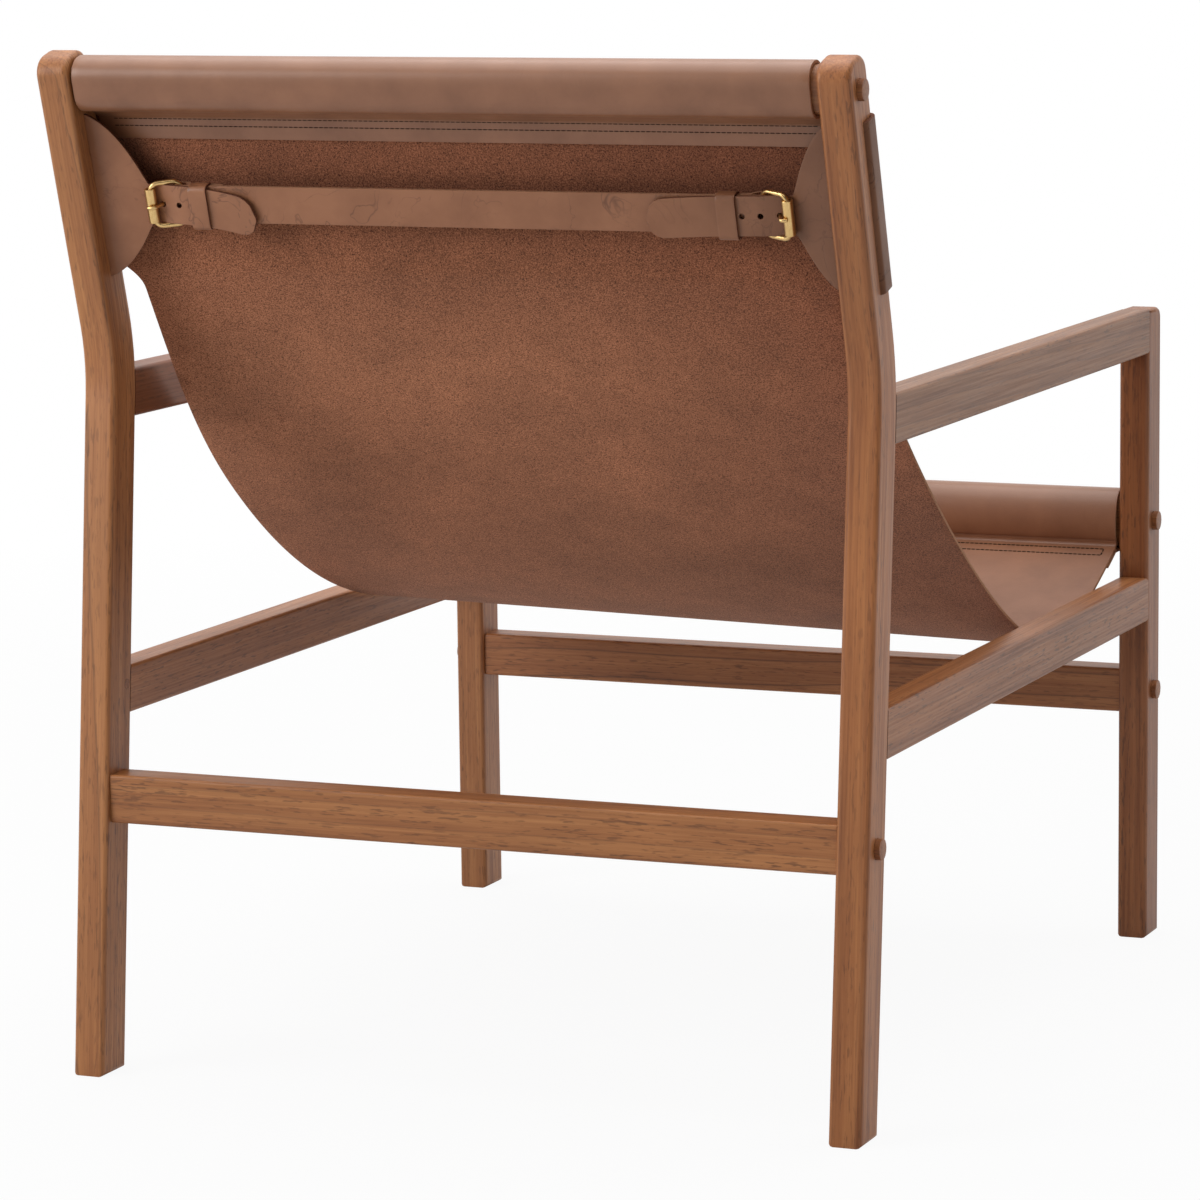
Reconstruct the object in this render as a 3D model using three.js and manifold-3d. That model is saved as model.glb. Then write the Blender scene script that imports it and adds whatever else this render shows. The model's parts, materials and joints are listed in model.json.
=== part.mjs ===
// Leather sling lounge chair, in millimetres.
// X runs to the sitter's left, the front of the chair is towards -Y, and Z is up.
// Two glued side frames are bolted to four cross members, and one leather sling hangs on two of those.

import * as THREE from 'three';
import { mergeVertices } from 'three/addons/utils/BufferGeometryUtils.js';
import Module from 'manifold-3d';

const { degToRad } = THREE.MathUtils;

// Side frames
const overallWidth = 686;
const overallHeight = 838;
const legSpacing = 779;
const timberThickness = 27.5;
const legDepth = 40;
const legEdgeRadius = 4;
const footRake = degToRad(5.2);
const backLean = degToRad(16.4);
const bendHeight = 588;
const bendRadius = 150;
const postEndRadius = 15;
const armTop = 576;
const armHeight = 40;
const armFrontRadius = 10;
const sideRailTop = 333;
const sideRailHeight = 40;
const railEdgeRadius = 3;

// Cross members
const stretcherThickness = 30;
const stretcherHeight = 40;
const stretcherTop = 248;
const stretcherSetback = 5;
const stretcherEdgeRadius = 2.5;
const rollBarDepth = 26;
const rollBarRadius = 12;
const topRailHeight = 38;
const topRailDrop = 26;
const frontRailHeight = 50;
const frontRailTop = 408;

// Joinery
const fitGap = 0.3;
const tenonThickness = 8;
const tenonHeight = 24;
const tenonLength = 40;
const pegDiameter = 8;
const pegLength = 20;
const pegInset = 8.5;
const pegRise = 5;
const boltDiameter = 6;
const boltLength = 48;
const boltHeadDiameter = 11;
const boltHeadHeight = 6;
const boltSocketWidth = 5;
const boltSocketDepth = 3;
const plugDiameter = 17;
const plugDepth = 8;
const plugRim = 4.4;
const plugDome = 0.6;
const nutDiameter = 10;
const nutLength = 14;
const nutInset = 26;

// Leather sling
const leatherThickness = 3.2;
const topSideGap = 8;
const waistSideGap = 20.5;
const seatSideGap = 3;
const waistCornerRadius = 18;
const seatFlareHeight = 135;
const seatLowHeight = 310;
const seatLowSetback = 195;
const slingBackAngle = degToRad(27.6);
const slingBackHandle = 30;
const slingRearSeatHandle = 240;
const slingFrontSeatHandle = 42;
const slingCreaseHandle = 46;
const slingCreaseAngle = degToRad(24.7);
const slingCreaseDrop = 22;
const slingCreaseRadius = 6;
const topHemLength = 30;
const frontHemLength = 38;
const hemOverlap = 0.1;
const hemBendRadius = 6.4;
const hemRun = 3.2;
const sheetDrop = 4.8;
const sheetBendRadius = 12.8;
const earThickness = 3;
const earRoot = 40;
const earTopGap = 3.5;
const earHeight = 138;
const earSlotBendRadius = 3.5;
const slotClearance = 0.25;
const flapStraight = 6;
const flapTopSwell = 2;
const flapBottomSwell = 8;
const flapInnerHandle = 0.4;
const flapOuterHandle = 0.95;

// Tongues, strap and buckles, on the line across the back where the strap runs
const strapDrop = 76;
const strapWidth = 31;
const strapThickness = 3;
const layerGap = 0.4;
const leftRollerInset = 48.5;
const rightRollerInset = 39.5;
const rollerDip = 4;
const leftTongueReach = 91;
const rightTongueReach = 117;
const tongueTipRadius = 14;
const tongueBendRadius = 25;
const tongueHoleDiameter = 5;
const tongueHoleSpacing = 15;
const tongueHoleCount = 3;
const buckleReach = 23.5;
const buckleBar = 4;
const buckleWidth = 40;
const rollerDiameter = 9;
const rollerLength = 30;
const prongDiameter = 2.6;
const prongTipReach = 3;
const prongHoleInset = 8.5;
const prongSlant = 5.5;
const prongBendRadius = 2.5;
const prongEyeWall = 2.2;
const prongEyeWidth = 4;
const prongSlotWidth = 6;
const foldLength = 38;
const foldPinch = 9;
const keeperWidth = 16;
const leftKeeperGap = 1.5;
const rightKeeperGap = 10;
const keeperWall = 2.5;
const keeperSideGap = 1.2;

// Roundness of arcs and turned pieces
const arcTolerance = 0.12;
const bevelSteps = 3;
const turnedSides = 16;
const boreSides = 12;
const wireSides = 10;
const wireSteps = 18;
const flapEdgeSteps = 8;
const rearSeatSteps = 18;
const frontSeatSteps = 10;
const plugDomeSteps = 4;
const roundShare = 0.98;
const weldTolerance = 1e-4;

const wasm = await Module();
wasm.setup();

// Solids

function toSolid(geometry) {
  const bare = geometry.clone();
  bare.deleteAttribute('normal');
  bare.deleteAttribute('uv');
  const merged = mergeVertices(bare, weldTolerance);
  const corners = merged.index.array;
  const faces = [];
  for (let i = 0; i < corners.length; i += 3) {
    const [a, b, c] = corners.slice(i, i + 3);
    if (a !== b && b !== c && c !== a) faces.push(a, b, c);
  }
  return new wasm.Manifold(new wasm.Mesh({
    numProp: 3,
    vertProperties: new Float32Array(merged.attributes.position.array),
    triVerts: new Uint32Array(faces),
  }));
}

function toGeometry(solid) {
  const mesh = solid.getMesh();
  const geometry = new THREE.BufferGeometry();
  geometry.setAttribute('position', new THREE.BufferAttribute(new Float32Array(mesh.vertProperties), 3));
  geometry.setIndex(new THREE.BufferAttribute(new Uint32Array(mesh.triVerts), 1));
  geometry.computeVertexNormals();
  return geometry;
}

function cut(geometry, cutters) {
  return toGeometry(cutters.reduce((solid, cutter) => solid.subtract(toSolid(cutter)), toSolid(geometry)));
}

function join(geometries) {
  return toGeometry(geometries.map(toSolid).reduce((sum, solid) => sum.add(solid)));
}

// Outlines

// Points of one corner rounded to a radius, between its two neighbours.
function roundCorner(before, corner, after, radius) {
  if (!radius) return [corner.clone()];
  const back = before.clone().sub(corner).normalize();
  const onward = after.clone().sub(corner).normalize();
  const half = Math.acos(THREE.MathUtils.clamp(back.dot(onward), -1, 1)) / 2;
  const centre = back.clone().add(onward).normalize().multiplyScalar(radius / Math.sin(half)).add(corner);
  const start = back.multiplyScalar(radius / Math.tan(half)).add(corner).sub(centre);
  const end = onward.multiplyScalar(radius / Math.tan(half)).add(corner).sub(centre);
  const sweep = Math.atan2(start.cross(end), start.dot(end));
  const steps = Math.ceil(Math.abs(sweep) / (2 * Math.acos(1 - arcTolerance / radius)));
  const points = [];
  for (let i = 0; i <= steps; i++) {
    points.push(start.clone().rotateAround(new THREE.Vector2(), sweep * i / steps).add(centre));
  }
  return points;
}

// A closed outline from corners written as [a, b, radius].
function outline(corners) {
  const at = (i) => new THREE.Vector2(...corners.at(i % corners.length).slice(0, 2));
  return corners.flatMap((corner, i) => roundCorner(at(i - 1 + corners.length), at(i), at(i + 1), corner[2]));
}

// An open line from corners written as [a, b, radius].
function openLine(corners) {
  const at = (i) => new THREE.Vector2(corners[i][0], corners[i][1]);
  return corners.flatMap((corner, i) => {
    const isEnd = i === 0 || i === corners.length - 1;
    return isEnd ? [at(i)] : roundCorner(at(i - 1), at(i), at(i + 1), corner[2]);
  });
}

function rectangle(left, right, bottom, top, radius = 0) {
  return outline([
    [left, bottom, radius],
    [right, bottom, radius],
    [right, top, radius],
    [left, top, radius],
  ]);
}

// The line moved sideways by a distance, to the left of its direction.
function offsetLine(points, distance) {
  return points.map((point, i) => {
    const before = points[Math.max(i - 1, 0)];
    const after = points[Math.min(i + 1, points.length - 1)];
    const inward = point.clone().sub(before).normalize();
    const outward = after.clone().sub(point).normalize();
    const direction = inward.clone().add(outward).normalize();
    const stretch = i > 0 && i < points.length - 1 ? inward.dot(direction) : 1;
    return new THREE.Vector2(-direction.y, direction.x).multiplyScalar(distance / stretch).add(point);
  });
}

function strip(points, thickness) {
  return [...offsetLine(points, thickness / 2), ...offsetLine(points, -thickness / 2).reverse()];
}

// Extrusions, each from an outline in the two other axes

function extrude(points, length, bevel = 0) {
  const geometry = new THREE.ExtrudeGeometry(new THREE.Shape(points), {
    depth: length - 2 * bevel,
    bevelEnabled: bevel > 0,
    bevelThickness: bevel,
    bevelSize: bevel,
    bevelOffset: -bevel,
    bevelSegments: bevelSteps,
  });
  return geometry.translate(0, 0, bevel);
}

const axisX = new THREE.Vector3(1, 0, 0);
const axisY = new THREE.Vector3(0, 1, 0);
const axisZ = new THREE.Vector3(0, 0, 1);
const layAlongX = new THREE.Matrix4().makeBasis(axisY, axisZ, axisX);
const layAlongY = new THREE.Matrix4().makeBasis(axisX, axisZ, axisY.clone().negate());

function alongX(points, from, to, bevel) {
  return extrude(points, to - from, bevel).applyMatrix4(layAlongX).translate(from, 0, 0);
}

function alongY(points, from, to) {
  return extrude(points, to - from).applyMatrix4(layAlongY).translate(0, to, 0);
}

function alongZ(points, from, to) {
  return extrude(points, to - from).translate(0, 0, from);
}

function box(x0, x1, y0, y1, z0, z1) {
  return new THREE.BoxGeometry(x1 - x0, y1 - y0, z1 - z0)
    .translate((x0 + x1) / 2, (y0 + y1) / 2, (z0 + z1) / 2);
}

function rodX(diameter, x0, x1, y, z) {
  return new THREE.CylinderGeometry(diameter / 2, diameter / 2, Math.abs(x1 - x0), boreSides)
    .rotateZ(Math.PI / 2).translate((x0 + x1) / 2, y, z);
}

function rodY(diameter, x, y0, y1, z) {
  return new THREE.CylinderGeometry(diameter / 2, diameter / 2, y1 - y0, boreSides)
    .translate(x, (y0 + y1) / 2, z);
}

function rodZ(diameter, x, y, z0, z1) {
  return new THREE.CylinderGeometry(diameter / 2, diameter / 2, z1 - z0, boreSides)
    .rotateX(Math.PI / 2).translate(x, y, (z0 + z1) / 2);
}

function turned(profile) {
  return new THREE.LatheGeometry(profile.map(([r, y]) => new THREE.Vector2(r, y)), turnedSides);
}

// Materials

const wood = { color: 0x8f5a38, roughness: 0.55, metalness: 0 };
const leather = { color: 0x80533d, roughness: 0.6, metalness: 0 };
const brass = { color: 0xd9b566, roughness: 0.3, metalness: 1 };
const steel = { color: 0x9a9a9a, roughness: 0.4, metalness: 1 };

const chair = new THREE.Group();

function add(group, name, geometry, look) {
  const mesh = new THREE.Mesh(geometry, new THREE.MeshStandardMaterial(look));
  mesh.name = name;
  group.add(mesh);
  return mesh;
}

// Places that the pieces share

const outerX = overallWidth / 2;
const innerX = outerX - timberThickness;
const frameX = outerX - timberThickness / 2;
const frontLegY = -legSpacing / 2;
const rearFootY = legSpacing / 2;
const bendPoint = new THREE.Vector2(rearFootY - bendHeight * Math.tan(footRake), bendHeight);
const postUp = new THREE.Vector2(Math.sin(backLean), Math.cos(backLean));
const postBack = new THREE.Vector2(Math.cos(backLean), -Math.sin(backLean));
const shinUp = new THREE.Vector2(-Math.sin(footRake), Math.cos(footRake));
const shinBack = new THREE.Vector2(Math.cos(footRake), Math.sin(footRake));
const topRailZ = overallHeight - topRailDrop;
const topRailY = bendPoint.x + (topRailZ - bendHeight) * Math.tan(backLean);
const frontRailZ = frontRailTop - frontRailHeight / 2;
const stretcherZ = stretcherTop - stretcherHeight / 2;
const rearLegYAt = (z) => rearFootY - z * Math.tan(footRake);
const stretcherInset = legDepth / 2 - stretcherSetback - stretcherThickness / 2;
const rearStretcherY = rearLegYAt(stretcherZ) + stretcherInset;
const frontStretcherY = frontLegY + stretcherInset;

// The back frame lies along the leaning posts: X across, Y to the rear of them, Z up along them.
const backFrame = new THREE.Group();
backFrame.position.set(0, topRailY, topRailZ);
backFrame.rotation.x = -backLean;
backFrame.updateMatrix();
chair.add(backFrame);

function fromBack(y, z) {
  return new THREE.Vector2(topRailY, topRailZ).addScaledVector(postBack, y).addScaledVector(postUp, z);
}

const earTop = -(topRailHeight / 2 + fitGap + leatherThickness + earTopGap);
const earBottom = earTop - earHeight;
const strapZ = earTop - strapDrop;
const sheetY = -(legDepth / 2 + fitGap + leatherThickness / 2);
const topHalf = innerX - topSideGap;
const waistHalf = innerX - waistSideGap;
const seatHalf = innerX - seatSideGap;

// The strap's two ends are drawn up differently, so each side has its own places along it.
function strapSide(word, sign, rollerInset, tongueReach, keeperGap) {
  const rollerX = innerX - rollerInset;
  const anchorX = rollerX - buckleReach;
  return {
    word,
    sign,
    rollerX,
    anchorX,
    shoulderX: rollerX + rollerDiameter / 2,
    tipX: rollerX - tongueReach,
    keeperX: anchorX - foldPinch - keeperGap - keeperWidth / 2,
  };
}

const sides = [
  strapSide('left', 1, leftRollerInset, leftTongueReach, leftKeeperGap),
  strapSide('right', -1, rightRollerInset, rightTongueReach, rightKeeperGap),
];

// Side frames

function rearLegCorners(grow) {
  const half = legDepth / 2 + grow;
  const bend = shinBack.clone().add(postBack).normalize()
    .multiplyScalar(half / Math.cos((footRake + backLean) / 2));
  const endRise = postEndRadius + (legDepth / 2 - postEndRadius) * Math.sin(backLean);
  const postLength = postEndRadius + (overallHeight - bendHeight - endRise) / Math.cos(backLean) + grow;
  const end = bendPoint.clone().addScaledVector(postUp, postLength);
  const foot = (offset) => {
    const edge = bendPoint.clone().addScaledVector(shinBack, offset);
    return edge.addScaledVector(shinUp, -(edge.y + grow) / shinUp.y);
  };
  const corner = (point, radius) => [point.x, point.y, radius];
  return [
    corner(foot(half), 0),
    corner(bendPoint.clone().add(bend), bendRadius),
    corner(end.clone().addScaledVector(postBack, half), postEndRadius),
    corner(end.clone().addScaledVector(postBack, -half), postEndRadius),
    corner(bendPoint.clone().sub(bend), bendRadius + legDepth),
    corner(foot(-half), 0),
  ];
}

function frontLegCorners(grow) {
  const half = legDepth / 2 + grow;
  return [
    [frontLegY - half, -grow, 0],
    [frontLegY + half, -grow, 0],
    [frontLegY + half, armTop + grow, 0],
    [frontLegY - half, armTop + grow, armFrontRadius],
  ];
}

function legBlank(corners, sign, grow = 0) {
  const half = timberThickness / 2 + grow;
  return alongX(outline(corners(grow)), sign * frameX - half, sign * frameX + half, legEdgeRadius);
}

// The front edge of the rear leg where a rail's middle height meets it.
function rearLegFrontAt(z) {
  const edge = outline(rearLegCorners(0));
  const crossings = edge.flatMap((a, i) => {
    const b = edge[(i + 1) % edge.length];
    return (a.y - z) * (b.y - z) < 0 ? [a.x + (b.x - a.x) * (z - a.y) / (b.y - a.y)] : [];
  });
  return Math.min(...crossings);
}

const sideTimbers = [
  { word: 'arm', top: armTop, height: armHeight },
  { word: 'side_rail', top: sideRailTop, height: sideRailHeight },
].map((timber) => ({ ...timber, middle: timber.top - timber.height / 2 }));

const frontJointY = frontLegY + legDepth / 2;

function tenonBlock(sign, y, z, grow = 0) {
  const x = sign * frameX;
  const halfX = tenonThickness / 2 + grow;
  const halfZ = tenonHeight / 2 + grow;
  const halfY = tenonLength / 2 + grow;
  const section = rectangle(x - halfX, x + halfX, z - halfZ, z + halfZ, halfX * roundShare);
  return alongY(section, y - halfY, y + halfY);
}

function tenonPlaces(timber) {
  return { front: frontJointY, rear: rearLegFrontAt(timber.middle) };
}

// A peg through the rear tenon of each side rail, from the inner face of the leg
function pegRod(sign, grow = 0) {
  const { middle } = sideTimbers.find(({ word }) => word === 'side_rail');
  const from = sign * (innerX - grow);
  const to = sign * (innerX + pegLength + grow);
  return rodX(pegDiameter + 2 * grow, from, to, rearLegFrontAt(middle) + pegInset, middle + pegRise);
}

// Bolts, from the outer faces of the legs into the four cross members

const boltLines = [
  { word: 'top_rail', y: topRailY, z: topRailZ, lean: backLean },
  { word: 'front_seat_rail', y: frontLegY, z: frontRailZ, lean: 0 },
  { word: 'rear_stretcher', y: rearStretcherY, z: stretcherZ, lean: 0 },
  { word: 'front_stretcher', y: frontStretcherY, z: stretcherZ, lean: 0 },
];
const headDepth = plugDepth + fitGap;
const shoulderDepth = headDepth + boltHeadHeight;

function boltHoles(sign, line) {
  const sink = outerX - shoulderDepth - fitGap;
  return [
    rodX(plugDiameter + 2 * fitGap, sign * sink, sign * (outerX + plugRim + plugDome), line.y, line.z),
    rodX(boltDiameter + 2 * fitGap, sign * (innerX - fitGap), sign * outerX, line.y, line.z),
  ];
}

// The ear of the sling goes round the front and outer faces of the post, in through a slot halfway
// through its depth, and on as a flap that narrows to the tongue of the strap.

const earOuterX = outerX + fitGap + earThickness / 2;

function earLine({ sign, rollerX, anchorX, tipX }) {
  const wrapRadius = legEdgeRadius + fitGap + earThickness / 2;
  return openLine([
    [innerX - earRoot, sheetY],
    [earOuterX, sheetY, wrapRadius],
    [earOuterX, 0, earSlotBendRadius],
    [innerX - flapStraight, 0, tongueBendRadius],
    [rollerX, -rollerDip, tongueBendRadius],
    [anchorX, 0, tongueBendRadius],
    [tipX, 0],
  ]).map((point) => new THREE.Vector2(sign * point.x, point.y));
}

function slotCutter(sign) {
  const line = openLine([
    [earOuterX, -2 * earSlotBendRadius],
    [earOuterX, 0, earSlotBendRadius],
    [innerX - flapStraight, 0],
  ]).map((point) => new THREE.Vector2(sign * point.x, point.y));
  return alongZ(strip(line, earThickness + 2 * slotClearance), earBottom - fitGap, earTop + fitGap)
    .applyMatrix4(backFrame.matrix);
}

function flapEdge(shoulderX, from, to, swell) {
  const rise = to - from;
  const width = innerX - shoulderX;
  const edge = new THREE.CubicBezierCurve(
    new THREE.Vector2(shoulderX, from),
    new THREE.Vector2(shoulderX + swell, from + rise * flapInnerHandle),
    new THREE.Vector2(shoulderX + width / 2, from + rise * flapOuterHandle),
    new THREE.Vector2(innerX, to),
  );
  return edge.getPoints(flapEdgeSteps);
}

function flapOutline({ sign, shoulderX, tipX }) {
  const top = strapZ + strapWidth / 2;
  const bottom = strapZ - strapWidth / 2;
  const tip = openLine([
    [shoulderX, top],
    [tipX, top, tongueTipRadius],
    [tipX, bottom, tongueTipRadius],
    [shoulderX, bottom],
  ]).slice(1, -1);
  const points = [
    new THREE.Vector2(outerX, earTop),
    ...flapEdge(shoulderX, top, earTop, flapTopSwell).reverse(),
    ...tip,
    ...flapEdge(shoulderX, bottom, earBottom, flapBottomSwell),
    new THREE.Vector2(outerX, earBottom),
  ];
  return points.map((point) => new THREE.Vector2(sign * point.x, point.y));
}

const flapDepth = rollerDip + earThickness;

function tongueHoles({ sign, rollerX }) {
  return Array.from({ length: tongueHoleCount }, (_, i) => {
    const x = sign * (rollerX - prongHoleInset - i * tongueHoleSpacing);
    return rodY(tongueHoleDiameter, x, -flapDepth, flapDepth, strapZ);
  });
}

function ear(side) {
  const xs = [side.sign * innerX, side.sign * (side.tipX - tongueTipRadius)].sort((a, b) => a - b);
  const waste = cut(
    box(xs[0], xs[1], -flapDepth, flapDepth, earBottom - strapWidth, earTop + strapWidth),
    [alongY(flapOutline(side), -2 * flapDepth, 2 * flapDepth)],
  );
  const whole = alongZ(strip(earLine(side), earThickness), earBottom, earTop);
  return cut(whole, [waste, ...tongueHoles(side)]).applyMatrix4(backFrame.matrix);
}

for (const { word, sign } of sides) {
  const mortises = sideTimbers.flatMap((timber) => {
    return Object.values(tenonPlaces(timber)).map((y) => tenonBlock(sign, y, timber.middle, fitGap));
  });
  const legCutters = [legBlank(rearLegCorners, sign, fitGap), legBlank(frontLegCorners, sign, fitGap)];
  const holes = boltLines.flatMap((line) => boltHoles(sign, line));
  const rearCuts = [...mortises, ...holes, slotCutter(sign), pegRod(sign, fitGap)];
  add(chair, `${word}_rear_leg`, cut(legBlank(rearLegCorners, sign), rearCuts), wood);
  add(chair, `${word}_front_leg`, cut(legBlank(frontLegCorners, sign), [...mortises, ...holes]), wood);

  for (const timber of sideTimbers) {
    const half = timberThickness / 2;
    const bottom = timber.top - timber.height;
    const section = rectangle(sign * frameX - half, sign * frameX + half, bottom, timber.top, railEdgeRadius);
    const places = tenonPlaces(timber);
    const blank = alongY(section, places.front - legEdgeRadius, places.rear + 2 * legEdgeRadius);
    add(chair, `${word}_${timber.word}`, cut(blank, [...legCutters, ...mortises]), wood);
    for (const [end, y] of Object.entries(places)) {
      const tenon = cut(tenonBlock(sign, y, timber.middle), [pegRod(sign, fitGap)]);
      add(chair, `${word}_${timber.word}_${end}_tenon`, tenon, wood);
    }
  }
  add(chair, `${word}_side_rail_peg`, pegRod(sign), wood);
}

// Cross members, with a bore for the bolt and a bore from below for the barrel nut at each end

function crossMember(section, y, z, underside) {
  const end = innerX - fitGap;
  const boltEnd = outerX - shoulderDepth - boltLength - fitGap;
  const nutTop = z + nutLength / 2 + fitGap;
  const bores = sides.flatMap(({ sign }) => [
    rodX(boltDiameter + 2 * fitGap, sign * boltEnd, sign * innerX, y, z),
    rodZ(nutDiameter + 2 * fitGap, sign * (innerX - nutInset), y, underside - fitGap, nutTop),
  ]);
  return cut(alongX(section, -end, end), bores);
}

function stretcher(y) {
  const half = stretcherThickness / 2;
  const bottom = stretcherTop - stretcherHeight;
  const section = rectangle(y - half, y + half, bottom, stretcherTop, stretcherEdgeRadius);
  return crossMember(section, y, stretcherZ, bottom);
}

function rollBarSection(y, z, height, grow = 0) {
  const halfY = rollBarDepth / 2 + grow;
  const halfZ = height / 2 + grow;
  return rectangle(y - halfY, y + halfY, z - halfZ, z + halfZ, rollBarRadius + grow);
}

function rollBar(y, z, height) {
  return crossMember(rollBarSection(y, z, height), y, z, z - height / 2);
}

add(backFrame, 'top_rail', rollBar(0, 0, topRailHeight), wood);
add(chair, 'front_seat_rail', rollBar(frontLegY, frontRailZ, frontRailHeight), wood);
add(chair, 'rear_stretcher', stretcher(rearStretcherY), wood);
add(chair, 'front_stretcher', stretcher(frontStretcherY), wood);

// Bolts, barrel nuts and the turned wooden plugs that hide the bolt heads

const boltProfile = [
  [0, 0],
  [boltHeadDiameter / 2, 0],
  [boltHeadDiameter / 2, boltHeadHeight],
  [boltDiameter / 2, boltHeadHeight],
  [boltDiameter / 2, boltHeadHeight + boltLength],
  [0, boltHeadHeight + boltLength],
];
const socketRadius = boltSocketWidth / Math.sqrt(3);
const socketSides = 6;
const boltGeometry = cut(turned(boltProfile), [
  new THREE.CylinderGeometry(socketRadius, socketRadius, 2 * boltSocketDepth, socketSides),
]);
const nutGeometry = cut(rodZ(nutDiameter, 0, 0, -nutLength / 2, nutLength / 2), [
  rodX(boltDiameter + 2 * fitGap, -nutDiameter, nutDiameter, 0, 0),
]);
const domeProfile = Array.from({ length: plugDomeSteps }, (_, i) => {
  const angle = (i + 1) / plugDomeSteps * Math.PI / 2;
  return [plugDiameter / 2 * Math.sin(angle), -plugRim - plugDome * Math.cos(angle)];
});
const plugProfile = [[0, -plugRim - plugDome], ...domeProfile, [plugDiameter / 2, plugDepth], [0, plugDepth]];

for (const { word, sign } of sides) {
  for (const line of boltLines) {
    const place = (piece, x) => {
      piece.position.set(sign * x, line.y, line.z);
      piece.rotation.z = sign * Math.PI / 2;
    };
    place(add(chair, `${word}_${line.word}_bolt`, boltGeometry.clone(), steel), outerX - headDepth);
    place(add(chair, `${word}_${line.word}_plug`, turned(plugProfile), wood), outerX);
    const nut = add(chair, `${word}_${line.word}_nut`, nutGeometry.clone(), steel);
    nut.position.set(sign * (innerX - nutInset), line.y, line.z);
    nut.rotation.x = -line.lean;
  }
}

// Leather sling: a sleeve round each roll bar, the sheet between them, a sewn hem under each sleeve
// and the two ears

const sleeveGrow = fitGap + leatherThickness;

function sleeve(y, z, height, half) {
  return cut(alongX(rollBarSection(y, z, height, sleeveGrow), -half, half), [
    alongX(rollBarSection(y, z, height, fitGap), -innerX, innerX),
  ]);
}

const sleeveWallY = rollBarDepth / 2 + fitGap + leatherThickness / 2 + hemOverlap;
const creasePoint = new THREE.Vector2(frontLegY + sleeveWallY, frontRailZ - slingCreaseDrop);
const lowPoint = new THREE.Vector2(frontLegY + seatLowSetback, seatLowHeight);
const backEnd = fromBack(sheetY, earBottom);

const backLine = openLine([
  [-sleeveWallY, 0],
  [-sleeveWallY, -sheetDrop, hemBendRadius],
  [sheetY, earTop + earTopGap, sheetBendRadius],
  [sheetY, earBottom],
]).map((point) => fromBack(point.x, point.y));
const backSlope = new THREE.Vector2(-Math.sin(slingBackAngle), -Math.cos(slingBackAngle));
const creaseSlope = new THREE.Vector2(Math.cos(slingCreaseAngle), -Math.sin(slingCreaseAngle));
const level = new THREE.Vector2(1, 0);
const rearSeatLine = new THREE.CubicBezierCurve(
  backEnd,
  backEnd.clone().addScaledVector(backSlope, slingBackHandle),
  lowPoint.clone().addScaledVector(level, slingRearSeatHandle),
  lowPoint,
).getPoints(rearSeatSteps);
const frontSeatLine = new THREE.CubicBezierCurve(
  lowPoint,
  lowPoint.clone().addScaledVector(level, -slingFrontSeatHandle),
  creasePoint.clone().addScaledVector(creaseSlope, slingCreaseHandle),
  creasePoint,
).getPoints(frontSeatSteps);
const creaseTurn = openLine([
  [frontSeatLine.at(-2).x, frontSeatLine.at(-2).y],
  [creasePoint.x, creasePoint.y, slingCreaseRadius],
  [creasePoint.x, frontRailZ],
]);
const sheetLine = [...backLine, ...rearSeatLine.slice(1), ...frontSeatLine.slice(1, -2), ...creaseTurn];

// The part of a line within a distance of its end, moved sideways to lie against it.
function hemLine(points, length, distance) {
  const moved = offsetLine(points, distance);
  const end = moved.at(-1);
  const near = moved.filter((point) => point.distanceTo(end) < length);
  const outside = moved.at(-near.length - 1);
  const last = outside.clone().sub(near[0]).setLength(Math.max(length - near[0].distanceTo(end), hemOverlap));
  return [near[0].clone().add(last), ...near];
}

const frontHem = hemLine(frontSeatLine, frontHemLength, leatherThickness - hemOverlap);
const hemY = sheetY + leatherThickness - hemOverlap;
const sleeveBottom = -(topRailHeight / 2 + fitGap + leatherThickness / 2 + hemOverlap);
const topHem = openLine([
  [hemRun, sleeveBottom],
  [-hemRun, sleeveBottom, hemBendRadius],
  [hemY, sleeveBottom - sheetBendRadius, hemBendRadius],
  [hemY, sleeveBottom - leatherThickness / 2 - topHemLength],
]).map((point) => fromBack(point.x, point.y));

// Half the width of the sling at a height: it is cut in below the ears and flares to the seat.
function slingHalfAt(z) {
  const below = Math.max(backEnd.y - z, 0);
  const corner = Math.max(1 - below / waistCornerRadius, 0) ** 2;
  const flare = THREE.MathUtils.smoothstep(below, waistCornerRadius, seatFlareHeight);
  return waistHalf + (topHalf - waistHalf) * corner + (seatHalf - waistHalf) * flare;
}

function acrossSling(line) {
  const geometry = alongX(strip(line, leatherThickness), -1, 1);
  const places = geometry.attributes.position;
  for (let i = 0; i < places.count; i++) {
    places.setX(i, places.getX(i) * slingHalfAt(places.getZ(i)));
  }
  return geometry;
}

add(chair, 'leather_sling', join([
  sleeve(0, 0, topRailHeight, topHalf).applyMatrix4(backFrame.matrix),
  sleeve(frontLegY, frontRailZ, frontRailHeight, seatHalf),
  acrossSling(sheetLine),
  acrossSling(topHem),
  acrossSling(frontHem),
  ...sides.map(ear),
]), leather);

// Strap across the back, folded round the anchor bar of a roller buckle at each end

const strapY = -(earThickness + strapThickness) / 2 - layerGap;
const loopRadius = buckleBar / 2 + layerGap + strapThickness / 2;
const anchorY = strapY - loopRadius;
const foldY = strapY - strapThickness - layerGap;
const rollerY = -rollerDip + earThickness / 2 + layerGap + rollerDiameter / 2;
const buckleTilt = Math.atan2(rollerY - anchorY, buckleReach);
const buckleSpan = Math.hypot(rollerY - anchorY, buckleReach);

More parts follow.
